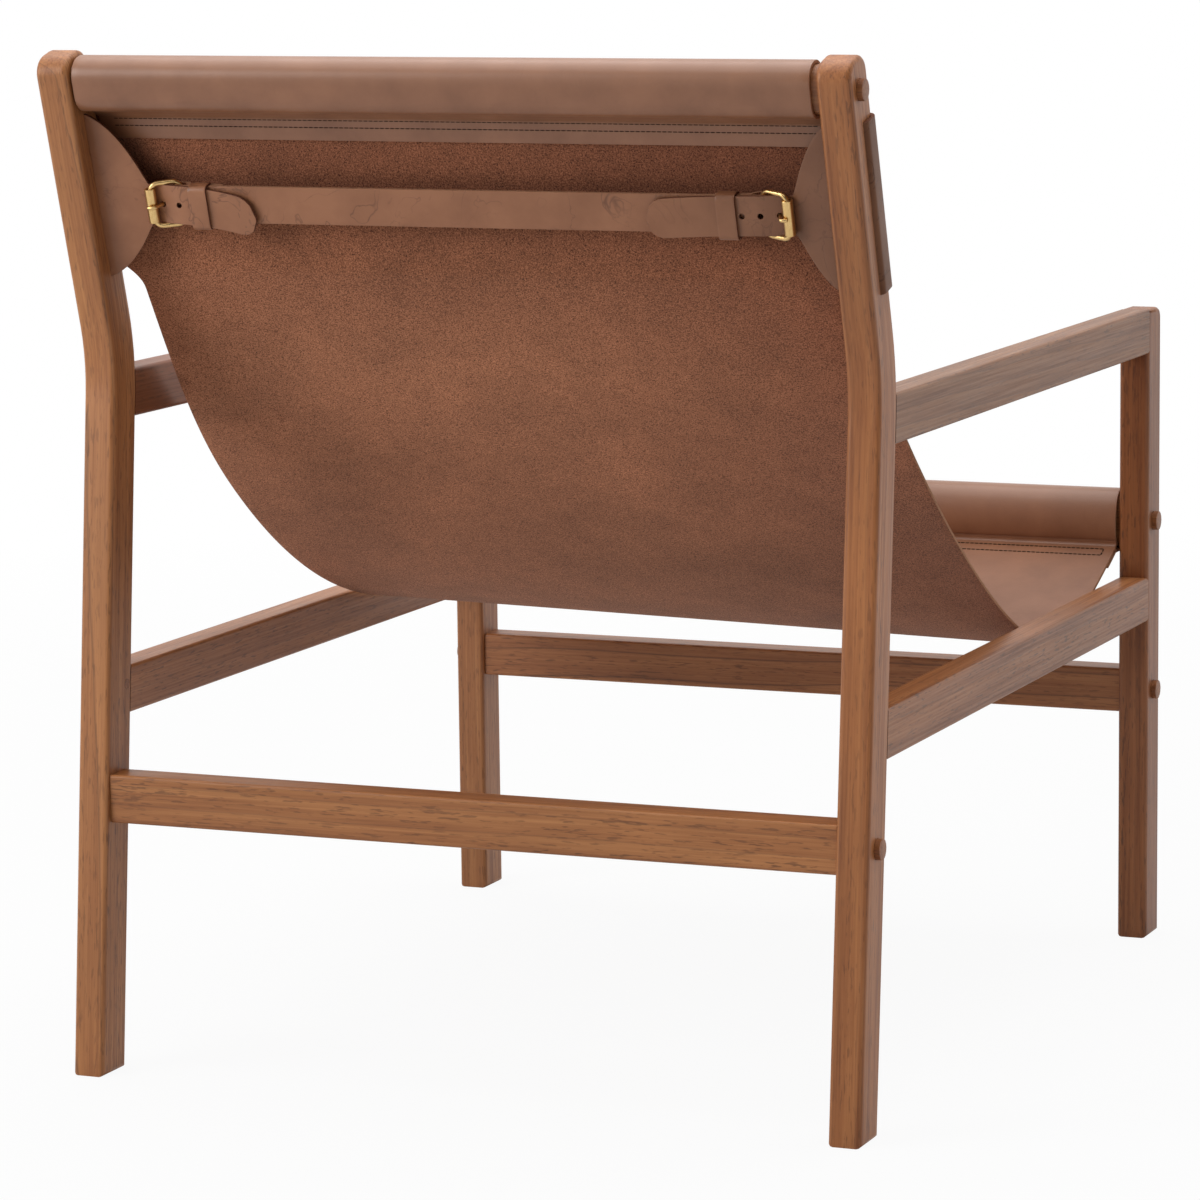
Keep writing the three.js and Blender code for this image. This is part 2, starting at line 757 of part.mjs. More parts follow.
function foldCorners({ sign, anchorX }) {
  const corners = [
    [anchorX - foldLength, foldY],
    [anchorX - foldPinch, foldY, strapThickness],
    [anchorX - foldPinch / 2, anchorY - loopRadius, strapThickness],
    [anchorX + loopRadius, anchorY - loopRadius, loopRadius * roundShare],
    [anchorX + loopRadius, strapY, loopRadius * roundShare],
  ];
  return corners.map(([x, y, radius]) => [sign * x, y, radius]);
}

const strapLine = openLine([...foldCorners(sides[0]), ...foldCorners(sides[1]).reverse()]);
const strapBlank = alongZ(strip(strapLine, strapThickness), strapZ - strapWidth / 2, strapZ + strapWidth / 2);
const prongSlots = sides.map(({ sign, anchorX }) => {
  const xs = [sign * (anchorX - 2 * buckleBar), sign * (anchorX + 2 * loopRadius)].sort((a, b) => a - b);
  const depth = loopRadius + strapThickness;
  return box(xs[0], xs[1], anchorY - depth, anchorY + depth,
    strapZ - prongSlotWidth / 2, strapZ + prongSlotWidth / 2);
});
add(backFrame, 'back_strap', cut(strapBlank, prongSlots), leather);

function ring(inner, outer, length) {
  return turned([
    [inner, -length / 2],
    [outer, -length / 2],
    [outer, length / 2],
    [inner, length / 2],
    [inner, -length / 2],
  ]).rotateX(Math.PI / 2);
}

// A rectangle of round wire in the X and Z directions, with its bars' corners rounded off as balls.
function buckleLoop(span) {
  const half = (buckleWidth - buckleBar) / 2;
  const ball = (x, z) => new THREE.SphereGeometry(buckleBar / 2, boreSides, boreSides / 2)
    .rotateY(Math.PI / boreSides).translate(x, 0, z);
  return join([
    rodZ(buckleBar, 0, 0, -half, half),
    rodZ(buckleBar, span, 0, -half, half),
    rodX(buckleBar, 0, span, 0, -half),
    rodX(buckleBar, 0, span, 0, half),
    ...[[0, -half], [0, half], [span, -half], [span, half]].map((corner) => ball(...corner)),
  ]);
}

function prong({ sign, rollerX, anchorX }) {
  const eyeInner = buckleBar / 2 + fitGap;
  const over = rollerY + rollerDiameter / 2 + fitGap + prongDiameter / 2;
  const holeX = rollerX - prongHoleInset;
  const holeY = rollerDip * (prongHoleInset / buckleReach - 1);
  const footX = holeX - prongSlant * (holeY - anchorY) / (over - anchorY);
  const line = openLine([
    [anchorX + eyeInner + prongEyeWall / 2, anchorY],
    [footX, anchorY, prongBendRadius],
    [footX + prongSlant, over, prongBendRadius],
    [rollerX + prongTipReach, over],
  ]);
  const path = new THREE.CurvePath();
  line.slice(1).forEach((point, i) => {
    const ends = [line[i], point].map((p) => new THREE.Vector3(sign * p.x, p.y, strapZ));
    path.add(new THREE.LineCurve3(...ends));
  });
  const round = new THREE.Shape().absarc(0, 0, prongDiameter / 2, 0, 2 * Math.PI);
  const wire = new THREE.ExtrudeGeometry(round, {
    steps: wireSteps,
    curveSegments: wireSides / 2,
    extrudePath: path,
  });
  const eye = ring(eyeInner, eyeInner + prongEyeWall, prongEyeWidth);
  return join([eye.translate(sign * anchorX, anchorY, strapZ), wire]);
}

const keeperHalf = strapWidth / 2 + keeperSideGap;
const keeperFront = foldY - strapThickness / 2 - fitGap;
const keeperRear = earThickness / 2 + fitGap;
const keeperBlank = alongX(
  rectangle(keeperFront - keeperWall, keeperRear + keeperWall, strapZ - keeperHalf - keeperWall,
    strapZ + keeperHalf + keeperWall, keeperWall),
  -keeperWidth / 2, keeperWidth / 2,
);
const keeperGeometry = cut(keeperBlank, [
  box(-keeperWidth, keeperWidth, keeperFront, keeperRear, strapZ - keeperHalf, strapZ + keeperHalf),
]);

for (const side of sides) {
  const { word, sign, anchorX } = side;
  const buckle = new THREE.Group();
  buckle.position.set(sign * anchorX, anchorY, strapZ);
  buckle.rotation.z = sign * buckleTilt;
  backFrame.add(buckle);

  add(buckle, `${word}_buckle_frame`, buckleLoop(sign * buckleSpan), brass);
  const roller = add(buckle, `${word}_buckle_roller`,
    ring(buckleBar / 2 + fitGap, rollerDiameter / 2, rollerLength), brass);
  roller.position.x = sign * buckleSpan;

  add(backFrame, `${word}_buckle_prong`, prong(side), brass);
  const keeper = add(backFrame, `${word}_strap_keeper`, keeperGeometry.clone(), leather);
  keeper.position.x = sign * side.keeperX;
}

// The origin is on the floor, in the middle of the whole chair.
const bounds = new THREE.Box3().setFromObject(chair, true);
chair.position.y = -(bounds.min.y + bounds.max.y) / 2;

export default chair;
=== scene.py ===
import json
import math

import bpy
from mathutils import Matrix, Vector, noise


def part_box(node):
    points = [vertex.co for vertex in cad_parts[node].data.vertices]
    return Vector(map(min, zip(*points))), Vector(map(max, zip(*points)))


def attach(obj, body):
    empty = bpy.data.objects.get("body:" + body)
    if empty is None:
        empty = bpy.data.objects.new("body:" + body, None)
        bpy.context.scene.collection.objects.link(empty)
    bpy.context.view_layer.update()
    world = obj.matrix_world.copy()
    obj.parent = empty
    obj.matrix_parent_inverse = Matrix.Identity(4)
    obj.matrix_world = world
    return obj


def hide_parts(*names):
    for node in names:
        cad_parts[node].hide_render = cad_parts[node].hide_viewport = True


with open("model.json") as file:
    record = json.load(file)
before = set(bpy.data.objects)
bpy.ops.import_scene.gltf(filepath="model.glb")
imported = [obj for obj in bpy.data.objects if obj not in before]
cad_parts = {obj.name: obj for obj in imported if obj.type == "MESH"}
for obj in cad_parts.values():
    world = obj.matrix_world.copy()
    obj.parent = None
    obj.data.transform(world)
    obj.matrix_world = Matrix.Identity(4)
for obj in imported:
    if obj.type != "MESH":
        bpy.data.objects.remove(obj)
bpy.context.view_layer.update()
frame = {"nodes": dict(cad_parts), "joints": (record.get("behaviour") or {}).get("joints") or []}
nodes = frame["nodes"]
joints = {joint["name"]: joint for joint in frame["joints"]}
sides = {"left": 1, "right": -1}
print("chair: frame loaded,", len(nodes), "nodes")


# small helpers

def pickOnly(piece):
    bpy.ops.object.select_all(action="DESELECT")
    piece.select_set(True)
    bpy.context.view_layer.objects.active = piece


def applyModifier(piece, kind, **settings):
    pickOnly(piece)
    modifier = piece.modifiers.new(kind.title(), kind)
    for key, value in settings.items():
        setattr(modifier, key, value)
    bpy.ops.object.modifier_apply(modifier=modifier.name)


def smoothByAngle(piece):
    pickOnly(piece)
    bpy.ops.object.shade_smooth_by_angle(angle=math.radians(50))


def mergeAndTurn(piece, rank, outward):
    # merges doubled points and turns the faces so that the one ranked highest looks outward
    pickOnly(piece)
    bpy.ops.object.mode_set(mode="EDIT")
    bpy.ops.mesh.select_all(action="SELECT")
    bpy.ops.mesh.remove_doubles(threshold=0.00002)
    bpy.ops.mesh.normals_make_consistent(inside=False)
    bpy.ops.object.mode_set(mode="OBJECT")
    outer = max(piece.data.polygons, key=rank)
    if outer.normal.dot(outward) < 0:
        bpy.ops.object.mode_set(mode="EDIT")
        bpy.ops.mesh.flip_normals()
        bpy.ops.object.mode_set(mode="OBJECT")


def dress(piece, *materials):
    for material in materials:
        piece.data.materials.append(material)


def centreOf(node):
    low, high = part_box(node)
    return (low + high) / 2


def mixed(a, b, share):
    return a + (b - a) * share


def eased(value, start, end):
    share = min(max((value - start) / (end - start), 0), 1)
    return share * share * (3 - 2 * share)


def roundedLine(corners, longest, turn=math.radians(11)):
    # corners are (a, b) or (a, b, radius); straight runs are cut into steps no longer than longest
    points = []
    for i, corner in enumerate(corners):
        here = Vector(corner[:2])
        if len(corner) < 3:
            points.append(here)
            continue
        back = (Vector(corners[i - 1][:2]) - here).normalized()
        onward = (Vector(corners[i + 1][:2]) - here).normalized()
        half = back.angle(onward) / 2
        centre = here + (back + onward).normalized() * (corner[2] / math.sin(half))
        start = here + back * (corner[2] / math.tan(half)) - centre
        end = here + onward * (corner[2] / math.tan(half)) - centre
        sweep = start.angle_signed(end)
        steps = max(2, math.ceil(abs(sweep) / turn))
        points += [centre + Matrix.Rotation(-sweep * k / steps, 2) @ start for k in range(steps + 1)]
    return cutRuns(points, longest)


def cutRuns(points, longest):
    line = [points[0]]
    for a, b in zip(points, points[1:]):
        steps = math.ceil((b - a).length / longest - 1e-6)
        line += [a.lerp(b, k / steps) for k in range(1, steps + 1)] if steps else []
    return line


def bezierLine(a, b, c, d, steps):
    line = []
    for k in range(steps + 1):
        t = k / steps
        line.append(a * (1 - t) ** 3 + b * 3 * t * (1 - t) ** 2 + c * 3 * t * t * (1 - t) + d * t ** 3)
    return line


def lineLength(points):
    return sum((b - a).length for a, b in zip(points, points[1:]))


# the back's own axes: across, w to the rear of the posts, v up along them

back = {"lean": math.radians(16.4), "origin": centreOf("top_rail")}
backRear = Vector((0, math.cos(back["lean"]), -math.sin(back["lean"])))
backUp = Vector((0, math.sin(back["lean"]), math.cos(back["lean"])))


def onBack(x, w, v):
    return back["origin"] + Vector((x, 0, 0)) + backRear * w + backUp * v


def toBack(point):
    offset = Vector(point) - back["origin"]
    return offset.x, offset.dot(backRear), offset.dot(backUp)


# camera at the photograph's place

cameraSet = {
    "place": (-1.5754, 3.8710, 1.0005),
    "yaw": 0.3945, "pitch": 0.1538, "roll": -0.0122,
    "focalPixels": 4921, "framePixels": 1200, "sensor": 36,
}


def makeCamera():
    yaw, pitch, roll = cameraSet["yaw"], cameraSet["pitch"], cameraSet["roll"]
    flat = math.cos(pitch)
    forward = Vector((math.sin(yaw) * flat, -math.cos(yaw) * flat, -math.sin(pitch)))
    level = Vector((-math.cos(yaw), -math.sin(yaw), 0))
    upright = level.cross(forward)
    right = level * math.cos(roll) + upright * math.sin(roll)
    up = upright * math.cos(roll) - level * math.sin(roll)
    bpy.ops.object.camera_add(location=cameraSet["place"])
    camera = bpy.context.object
    camera.name = "photoCamera"
    camera.rotation_euler = Matrix((right, up, -forward)).transposed().to_euler()
    camera.data.sensor_width = cameraSet["sensor"]
    camera.data.lens = cameraSet["focalPixels"] / cameraSet["framePixels"] * cameraSet["sensor"]
    camera.data.clip_end = 200
    bpy.context.scene.camera = camera


# studio

studio = {
    "floorSize": 120, "floorColour": (0.60, 0.60, 0.60, 1),
    "nearWhite": 0.93, "farWhite": 1.0, "nearReach": 0.9, "farReach": 3.0, "nearGloss": 0.45,
    "skyFront": 1.0, "skyRear": 0.10,
    "lamps": {   # place, aimed at, width, height, watts
        "overheadLamp": ((0.2, 0.4, 2.9), (0.2, 0.41, 0), 3.0, 3.6, 78),
        "rearLamp": ((2.4, 2.6, 1.7), (0, 0.2, 0.65), 2.0, 1.8, 66),
    },
}


def makeStudio():
    scene = bpy.context.scene
    scene.view_settings.view_transform = "Standard"
    world = scene.world or bpy.data.worlds.new("studio")
    scene.world = world
    world.use_nodes = True
    skyTree = world.node_tree
    sky = skyTree.nodes["Background"]
    sky.inputs["Color"].default_value = (1, 1, 1, 1)
    direction = addNode(skyTree, "ShaderNodeTexCoord").outputs["Generated"]
    parts = addNode(skyTree, "ShaderNodeSeparateXYZ", {0: direction})
    strength = addNode(skyTree, "ShaderNodeMapRange", {
        "Value": parts.outputs["Y"], "From Min": -0.5, "From Max": 0.5,
        "To Min": studio["skyFront"], "To Max": studio["skyRear"],
    }, interpolation_type="SMOOTHSTEP")
    skyTree.links.new(strength.outputs[0], sky.inputs["Strength"])

    bpy.ops.mesh.primitive_plane_add(size=studio["floorSize"])
    floor = bpy.context.object
    floor.name = "studioFloor"
    paper = bpy.data.materials.new("floorPaper")
    paper.use_nodes = True
    tree = paper.node_tree
    shader = tree.nodes["Principled BSDF"]
    shader.inputs["Base Color"].default_value = studio["floorColour"]
    shader.inputs["Roughness"].default_value = 0.9
    shader.inputs["Specular IOR Level"].default_value = 0
    rays = addNode(tree, "ShaderNodeLightPath").outputs
    straight = addMath(tree, "MAXIMUM", rays["Is Camera Ray"], rays["Is Transmission Ray"])
    spot = addNode(tree, "ShaderNodeTexCoord").outputs["Object"]
    away = addNode(tree, "ShaderNodeVectorMath", {0: spot}, operation="LENGTH").outputs["Value"]
    shares = []
    for seen, near in ((straight, "nearWhite"), (rays["Is Glossy Ray"], "nearGloss")):
        paleness = addNode(tree, "ShaderNodeMapRange", {
            "Value": away, "From Min": studio["nearReach"], "From Max": studio["farReach"],
            "To Min": studio[near], "To Max": studio["farWhite"],
        }).outputs[0]
        shares.append(addMath(tree, "MULTIPLY", seen, paleness))
    share = addMath(tree, "MAXIMUM", *shares)
    white = addNode(tree, "ShaderNodeEmission", {"Strength": 1.0}).outputs[0]
    both = addNode(tree, "ShaderNodeMixShader", {0: share, 1: shader.outputs[0], 2: white})
    tree.links.new(both.outputs[0], tree.nodes["Material Output"].inputs["Surface"])
    dress(floor, paper)

    for name, (place, target, width, height, watts) in studio["lamps"].items():
        bpy.ops.object.light_add(type="AREA", location=place)
        lamp = bpy.context.object
        lamp.name = name
        lamp.rotation_euler = (Vector(target) - Vector(place)).to_track_quat("-Z", "Y").to_euler()
        lamp.data.shape = "RECTANGLE"
        lamp.data.size = width
        lamp.data.size_y = height
        lamp.data.energy = watts


# materials

def addNode(tree, kind, sockets=None, **settings):
    made = tree.nodes.new(kind)
    for key, value in settings.items():
        setattr(made, key, value)
    for key, value in (sockets or {}).items():
        if isinstance(value, bpy.types.NodeSocket):
            tree.links.new(value, made.inputs[key])
        else:
            made.inputs[key].default_value = value
    return made


def addMath(tree, operation, *values):
    return addNode(tree, "ShaderNodeMath", dict(enumerate(values)), operation=operation).outputs[0]


def addRamp(tree, source, *stops):
    made = tree.nodes.new("ShaderNodeValToRGB")
    ramp = made.color_ramp
    while len(ramp.elements) < len(stops):
        ramp.elements.new(0.5)
    for element, (place, colour) in zip(ramp.elements, stops):
        element.position = place
        element.color = (*colour, 1) if isinstance(colour, tuple) else (colour, colour, colour, 1)
    tree.links.new(source, made.inputs["Fac"])
    return made.outputs["Color"]


def addMix(tree, share, first, second, blend="MIX"):
    sockets = {0: share, 6: first, 7: second}   # 6 and 7 are the colour sockets
    return addNode(tree, "ShaderNodeMix", sockets, data_type="RGBA", blend_type=blend).outputs[2]


def addNoise(tree, vector, scale, detail, roughness=0.5, **sockets):
    values = {"Vector": vector, "Scale": scale, "Detail": detail, "Roughness": roughness, **sockets}
    return addNode(tree, "ShaderNodeTexNoise", values).outputs["Fac"]


def addCells(tree, vector, scale):
    return addNode(tree, "ShaderNodeTexVoronoi", {"Vector": vector, "Scale": scale}).outputs["Distance"]


def startMaterial(name, roughness, specular):
    material = bpy.data.materials.new(name)
    material.use_nodes = True
    tree = material.node_tree
    shader = tree.nodes["Principled BSDF"]
    shader.inputs["Roughness"].default_value = roughness
    shader.inputs["Specular IOR Level"].default_value = specular
    place = addNode(tree, "ShaderNodeTexCoord").outputs["Object"]
    return material, tree, shader, place


def setBump(tree, shader, height, strength, distance):
    bump = addNode(tree, "ShaderNodeBump", {"Height": height, "Strength": strength, "Distance": distance})
    tree.links.new(bump.outputs["Normal"], shader.inputs["Normal"])


wood = {
    "light": (0.408, 0.175, 0.062), "middle": (0.305, 0.118, 0.040), "dark": (0.188, 0.063, 0.021),
    "line": (0.100, 0.038, 0.019), "pore": (0.068, 0.027, 0.014),
    "ringScale": 30, "alongRing": 0.25, "heartAway": 0.16,
    "fibreScale": 560, "alongFibre": 0.014, "poreScale": 560, "alongPore": 0.13,
    "streakScale": 62, "alongStreak": 0.07, "poreShare": 0.62,
    "patchScale": 5, "patchLevels": (0.86, 1.10),
    "specular": 0.38,
}
postBend = {
    "height": 0.588, "ease": 0.08,
    "rake": math.tan(math.radians(5.2)), "lean": math.tan(math.radians(16.4)),
}
grainTurns = {
    "x": (0, math.radians(-90), 0), "y": (math.radians(90), 0, 0),
    "z": (0, 0, 0), "post": (0, 0, 0),
}


def alongPost(tree, place):
    # straightens a bent rear leg, so that its grain follows the bend
    parts = addNode(tree, "ShaderNodeSeparateXYZ", {0: place}).outputs
    above = addMath(tree, "SUBTRACT", parts["Z"], postBend["height"])
    above = addMath(tree, "SMOOTH_MAX", above, 0.0, postBend["ease"])
    turn = postBend["rake"] + postBend["lean"]
    straight = addMath(tree, "MULTIPLY_ADD", parts["Z"], postBend["rake"], parts["Y"])
    straight = addMath(tree, "MULTIPLY_ADD", above, -turn, straight)
    sockets = {"X": parts["X"], "Y": straight, "Z": parts["Z"]}
    return addNode(tree, "ShaderNodeCombineXYZ", sockets).outputs[0]


def makeWood(name, grain, seed, toneAndShade=(1.0, 1.0, 1.0), tilt=0.05, lines=0.5):
    # fine fibres and short pores along the grain, with a few thin dark growth lines
    material, tree, shader, place = startMaterial(name, 0.42, wood["specular"])
    away = wood["heartAway"]
    heart = (away * math.cos(seed * 2.4), away * math.sin(seed * 2.4), seed * 0.37)
    if grain == "post":
        place = alongPost(tree, place)
    turning = {"Vector": place, "Rotation": grainTurns[grain]}
    turned = addNode(tree, "ShaderNodeMapping", turning).outputs[0]

    def stretched(along):
        return addNode(tree, "ShaderNodeMapping", {
            "Vector": turned, "Location": heart, "Scale": (1, 1, along),
        }).outputs[0]

    tilted = addNode(tree, "ShaderNodeMapping", {
        "Vector": turned, "Location": heart,
        "Rotation": (tilt * math.sin(seed * 1.7), tilt * math.cos(seed * 2.9), 0),
        "Scale": (1, 1, wood["alongRing"]),
    }).outputs[0]
    rings = addNode(tree, "ShaderNodeTexWave", {
        "Vector": tilted, "Scale": wood["ringScale"],
        "Distortion": 2.6, "Detail": 2.0, "Detail Scale": 0.5,
    }, wave_type="RINGS", rings_direction="Z", wave_profile="SAW").outputs["Fac"]
    fibrePlace = stretched(wood["alongFibre"])
    fibres = addNoise(tree, fibrePlace, wood["fibreScale"], 4, 0.6)
    broad = addNoise(tree, stretched(wood["alongStreak"]), wood["streakScale"], 4, 0.6)
    pores = addNoise(tree, stretched(wood["alongPore"]), wood["poreScale"], 2, 0.5)
    poreZones = addNoise(tree, fibrePlace, 60, 2)
    pores = addRamp(tree, pores, (0.57, 0.0), (0.65, 1.0))
    pores = addMix(tree, 1.0, pores, addRamp(tree, poreZones, (0.35, 0.25), (0.65, 1.0)), "MULTIPLY")
    thin = addRamp(tree, rings, (0.0, 0.0), (0.90, 0.0), (0.97, 1.0), (1.0, 0.25))
    blended = addMix(tree, 0.45, fibres, broad)
    blended = addMix(tree, 0.10, blended, rings)
    figure = addRamp(tree, blended, (0.32, wood["dark"]), (0.50, wood["middle"]), (0.70, wood["light"]))
    patches = addNoise(tree, turned, wood["patchScale"], 2)
    # the tone is partly the wood's own and partly painted light and shade on each piece
    darker, paler = (tuple(level * part for part in toneAndShade) for level in wood["patchLevels"])
    shade = addRamp(tree, patches, (0.25, darker), (0.75, paler))
    figure = addMix(tree, 1.0, figure, shade, "MULTIPLY")
    lineShare = addMath(tree, "MULTIPLY", thin, lines)
    figure = addMix(tree, lineShare, figure, (*wood["line"], 1))
    poreShare = addMath(tree, "MULTIPLY", pores, wood["poreShare"])
    tree.links.new(addMix(tree, poreShare, figure, (*wood["pore"], 1)), shader.inputs["Base Color"])
    tree.links.new(addRamp(tree, fibres, (0.3, 0.48), (0.7, 0.36)), shader.inputs["Roughness"])
    height = addMath(tree, "SUBTRACT", fibres, pores)
    setBump(tree, shader, height, 0.18, 0.0003)
    return material


hide = {
    # crease is painted shade in the wrinkles' creases
    "smooth": (0.270, 0.115, 0.057), "smoothDark": (0.208, 0.085, 0.041), "crease": (0.085, 0.033, 0.018),
    # painted highlight colour on top of both rolls
    "wearAndPaintedHighlight": (0.345, 0.190, 0.125),
    "suede": (0.315, 0.120, 0.057), "suedeDark": (0.050, 0.016, 0.009),
    "suedeLight": (0.540, 0.228, 0.116),
    # painted shade on the suede, darker towards the right post and towards the top roll
    "paintedShadeRight": (0.77, 0.72, 0.72), "paintedShadeTop": (0.69, 0.63, 0.64),
    # painted light and shade across the straps: darker on the right, paler in the middle and on the left
    "flapRight": 0.70, "flapMiddle": 1.15, "flapLeft": 1.26,
    "edge": (0.265, 0.118, 0.062), "edgeLight": (0.42, 0.225, 0.13),
    "flapEdge": (0.085, 0.030, 0.018), "flapEdgeLight": (0.205, 0.082, 0.045),
    "smoothGloss": 0.5, "strapGloss": 0.34, "wrapGloss": 0.12,
    "mottleScale": 24, "wornScale": 11, "grainScale": 850, "wrinkleScale": 26,
    "paintedHighlightShare": 0.5, "creaseShare": {True: 0.6, False: 0.05},   # with and without wrinkles
    "napScale": 900, "pitScale": 560, "clusterScale": 38, "patchScale": 7, "pitShare": 0.62,
}


def shareAlong(tree, place, axis, start, end):
    # 0 to 1 between two places along an axis
    part = addNode(tree, "ShaderNodeSeparateXYZ", {0: place}).outputs[axis]
    ends = {"Value": part, "From Min": start, "From Max": end}
    return addNode(tree, "ShaderNodeMapRange", ends).outputs[0]


def makeSmoothLeather(name, wrinkled, gloss):
    # a finished hide: soft mottling, a pebbled grain and, on the straps, fine wrinkles with painted shade
    # in their creases; painted highlights on top of the rolls and painted light and shade across the
    # straps
    material, tree, shader, place = startMaterial(name, 0.36, gloss)
    mottle = addNoise(tree, place, hide["mottleScale"], 4, 0.55)
    # where the straps are worn into wrinkles
    wearAndPaintedHighlight = addRamp(tree, addNoise(tree, place, hide["wornScale"], 2), (0.40, 0.0), (0.56, 1.0))
    grain = addCells(tree, place, hide["grainScale"])
    wrinkle = addNoise(tree, place, hide["wrinkleScale"], 3, 0.55, Distortion=1.2)
    middle = addMath(tree, "ABSOLUTE", addMath(tree, "SUBTRACT", wrinkle, 0.5))
    crease = addMix(tree, 1.0, addRamp(tree, middle, (0.0, 1.0), (0.016, 0.0)), wearAndPaintedHighlight, "MULTIPLY")
    colour = addRamp(tree, mottle, (0.3, hide["smoothDark"]), (0.65, hide["smooth"]))
    if not wrinkled:   # both rolls are painted paler on top: a painted highlight
        frontRollHighlight = addMix(tree, 1.0, shareAlong(tree, place, "Y", -0.355, -0.385),
                           shareAlong(tree, place, "Z", 0.375, 0.410), "MULTIPLY")
        paintedHighlightZone = addMix(tree, 1.0, frontRollHighlight, shareAlong(tree, place, "Z", 0.812, 0.836), "LIGHTEN")
        paintedHighlightShare = addMath(tree, "MULTIPLY", paintedHighlightZone, hide["paintedHighlightShare"])
        colour = addMix(tree, paintedHighlightShare, colour, (*hide["wearAndPaintedHighlight"], 1))
    # painted shade: the creases are painted darker, strongly on the straps and faintly on the rolls'
    # leather
    creaseShare = addMath(tree, "MULTIPLY", crease, hide["creaseShare"][wrinkled])
    colour = addMix(tree, creaseShare, colour, (*hide["crease"], 1))
    if wrinkled:
        # painted light and shade across the back: the right side darker, the middle and the left paler
        across = shareAlong(tree, place, "X", -0.34, 0.34)
        paintedLightAcross = addRamp(tree, across, (0.05, hide["flapRight"]), (0.28, hide["flapMiddle"]),
                        (0.95, hide["flapLeft"]))
        colour = addMix(tree, 1.0, colour, paintedLightAcross, "MULTIPLY")
    tree.links.new(colour, shader.inputs["Base Color"])
    tree.links.new(addRamp(tree, mottle, (0.3, 0.41), (0.7, 0.32)), shader.inputs["Roughness"])
    sunk = addMath(tree, "MULTIPLY", creaseShare, -1.6)
    height = addMath(tree, "MULTIPLY_ADD", grain, 0.3, sunk)
    setBump(tree, shader, height, 0.28, 0.0006)
    return material


def makeSuede():
    material, tree, shader, place = startMaterial("suedeSide", 0.92, 0.08)
    shader.inputs["Sheen Weight"].default_value = 0.10
    shader.inputs["Sheen Roughness"].default_value = 0.6
    nap = addNoise(tree, place, hide["napScale"], 3, 0.8)
    patches = addNoise(tree, place, hide["patchScale"], 3, 0.6)
    clusters = addNoise(tree, place, hide["clusterScale"], 3, 0.6)
    pits = addRamp(tree, addCells(tree, place, hide["pitScale"]), (0.10, 1.0), (0.26, 0.0))
    pits = addMix(tree, 1.0, pits, addRamp(tree, clusters, (0.42, 0.0), (0.62, 1.0)), "MULTIPLY")
    colour = addRamp(tree, nap, (0.35, hide["suedeDark"]), (0.48, hide["suede"]),
                     (0.62, hide["suedeLight"]))
    colour = addMix(tree, 1.0, colour, addRamp(tree, patches, (0.3, 0.82), (0.7, 1.14)), "MULTIPLY")
    colour = addMix(tree, 1.0, colour, addRamp(tree, clusters, (0.3, 1.07), (0.7, 0.93)), "MULTIPLY")
    # painted shade: the suede is darkened towards the right post and towards the top roll
    leftward = shareAlong(tree, place, "X", -0.32, -0.04)
    upward = shareAlong(tree, place, "Z", 0.58, 0.72)
    paintedShadeFromRight = addRamp(tree, leftward, (0.0, hide["paintedShadeRight"]), (1.0, 1.0))
    paintedShadeFromTop = addRamp(tree, upward, (0.0, 1.0), (1.0, hide["paintedShadeTop"]))
    colour = addMix(tree, 1.0, colour, addMix(tree, 1.0, paintedShadeFromRight, paintedShadeFromTop, "MULTIPLY"), "MULTIPLY")
    pitShare = addMath(tree, "MULTIPLY", pits, hide["pitShare"])
    colour = addMix(tree, pitShare, colour, (*hide["suedeDark"], 1))
    tree.links.new(colour, shader.inputs["Base Color"])
    height = addMath(tree, "SUBTRACT", nap, pits)
    setBump(tree, shader, height, 0.5, 0.0006)
    return material


def makeCutEdge(name, dark, light):
    material, tree, shader, place = startMaterial(name, 0.85, 0.15)
    fibres = addNoise(tree, place, 700, 4, 0.65)
    tree.links.new(addRamp(tree, fibres, (0.3, dark), (0.7, light)), shader.inputs["Base Color"])
    setBump(tree, shader, fibres, 0.4, 0.0005)
    return material


metal = {
    "brassDark": (0.62, 0.40, 0.16), "brassLight": (0.74, 0.51, 0.23), "brassWear": 900,
    "steelDark": 0.44, "steelLight": 0.62, "steelWear": 400,
}


def makeBrass():
    material, tree, shader, place = startMaterial("polishedBrass", 0.3, 0.5)
    shader.inputs["Metallic"].default_value = 1.0
    scratches = addNode(tree, "ShaderNodeMapping", {"Vector": place, "Scale": (1, 1, 0.08)}).outputs[0]
    wear = addNoise(tree, scratches, metal["brassWear"], 3, 0.6)
    colour = addRamp(tree, wear, (0.3, metal["brassDark"]), (0.7, metal["brassLight"]))
    tree.links.new(colour, shader.inputs["Base Color"])
    tree.links.new(addRamp(tree, wear, (0.3, 0.34), (0.7, 0.26)), shader.inputs["Roughness"])
    return material


def makeSteel():
    material, tree, shader, place = startMaterial("platedSteel", 0.38, 0.5)
    shader.inputs["Metallic"].default_value = 1.0
    wear = addNoise(tree, place, metal["steelWear"], 3)
    colour = addRamp(tree, wear, (0.3, metal["steelDark"]), (0.7, metal["steelLight"]))
    tree.links.new(colour, shader.inputs["Base Color"])
    return material


thread = {"dark": (0.014, 0.007, 0.005), "light": (0.036, 0.017, 0.011), "twist": 1500}


def makeThread():
    material, tree, shader, place = startMaterial("waxedThread", 0.7, 0.1)
    twist = addNoise(tree, place, thread["twist"], 2)
    colour = addRamp(tree, twist, (0.3, thread["dark"]), (0.7, thread["light"]))
    tree.links.new(colour, shader.inputs["Base Color"])
    return material


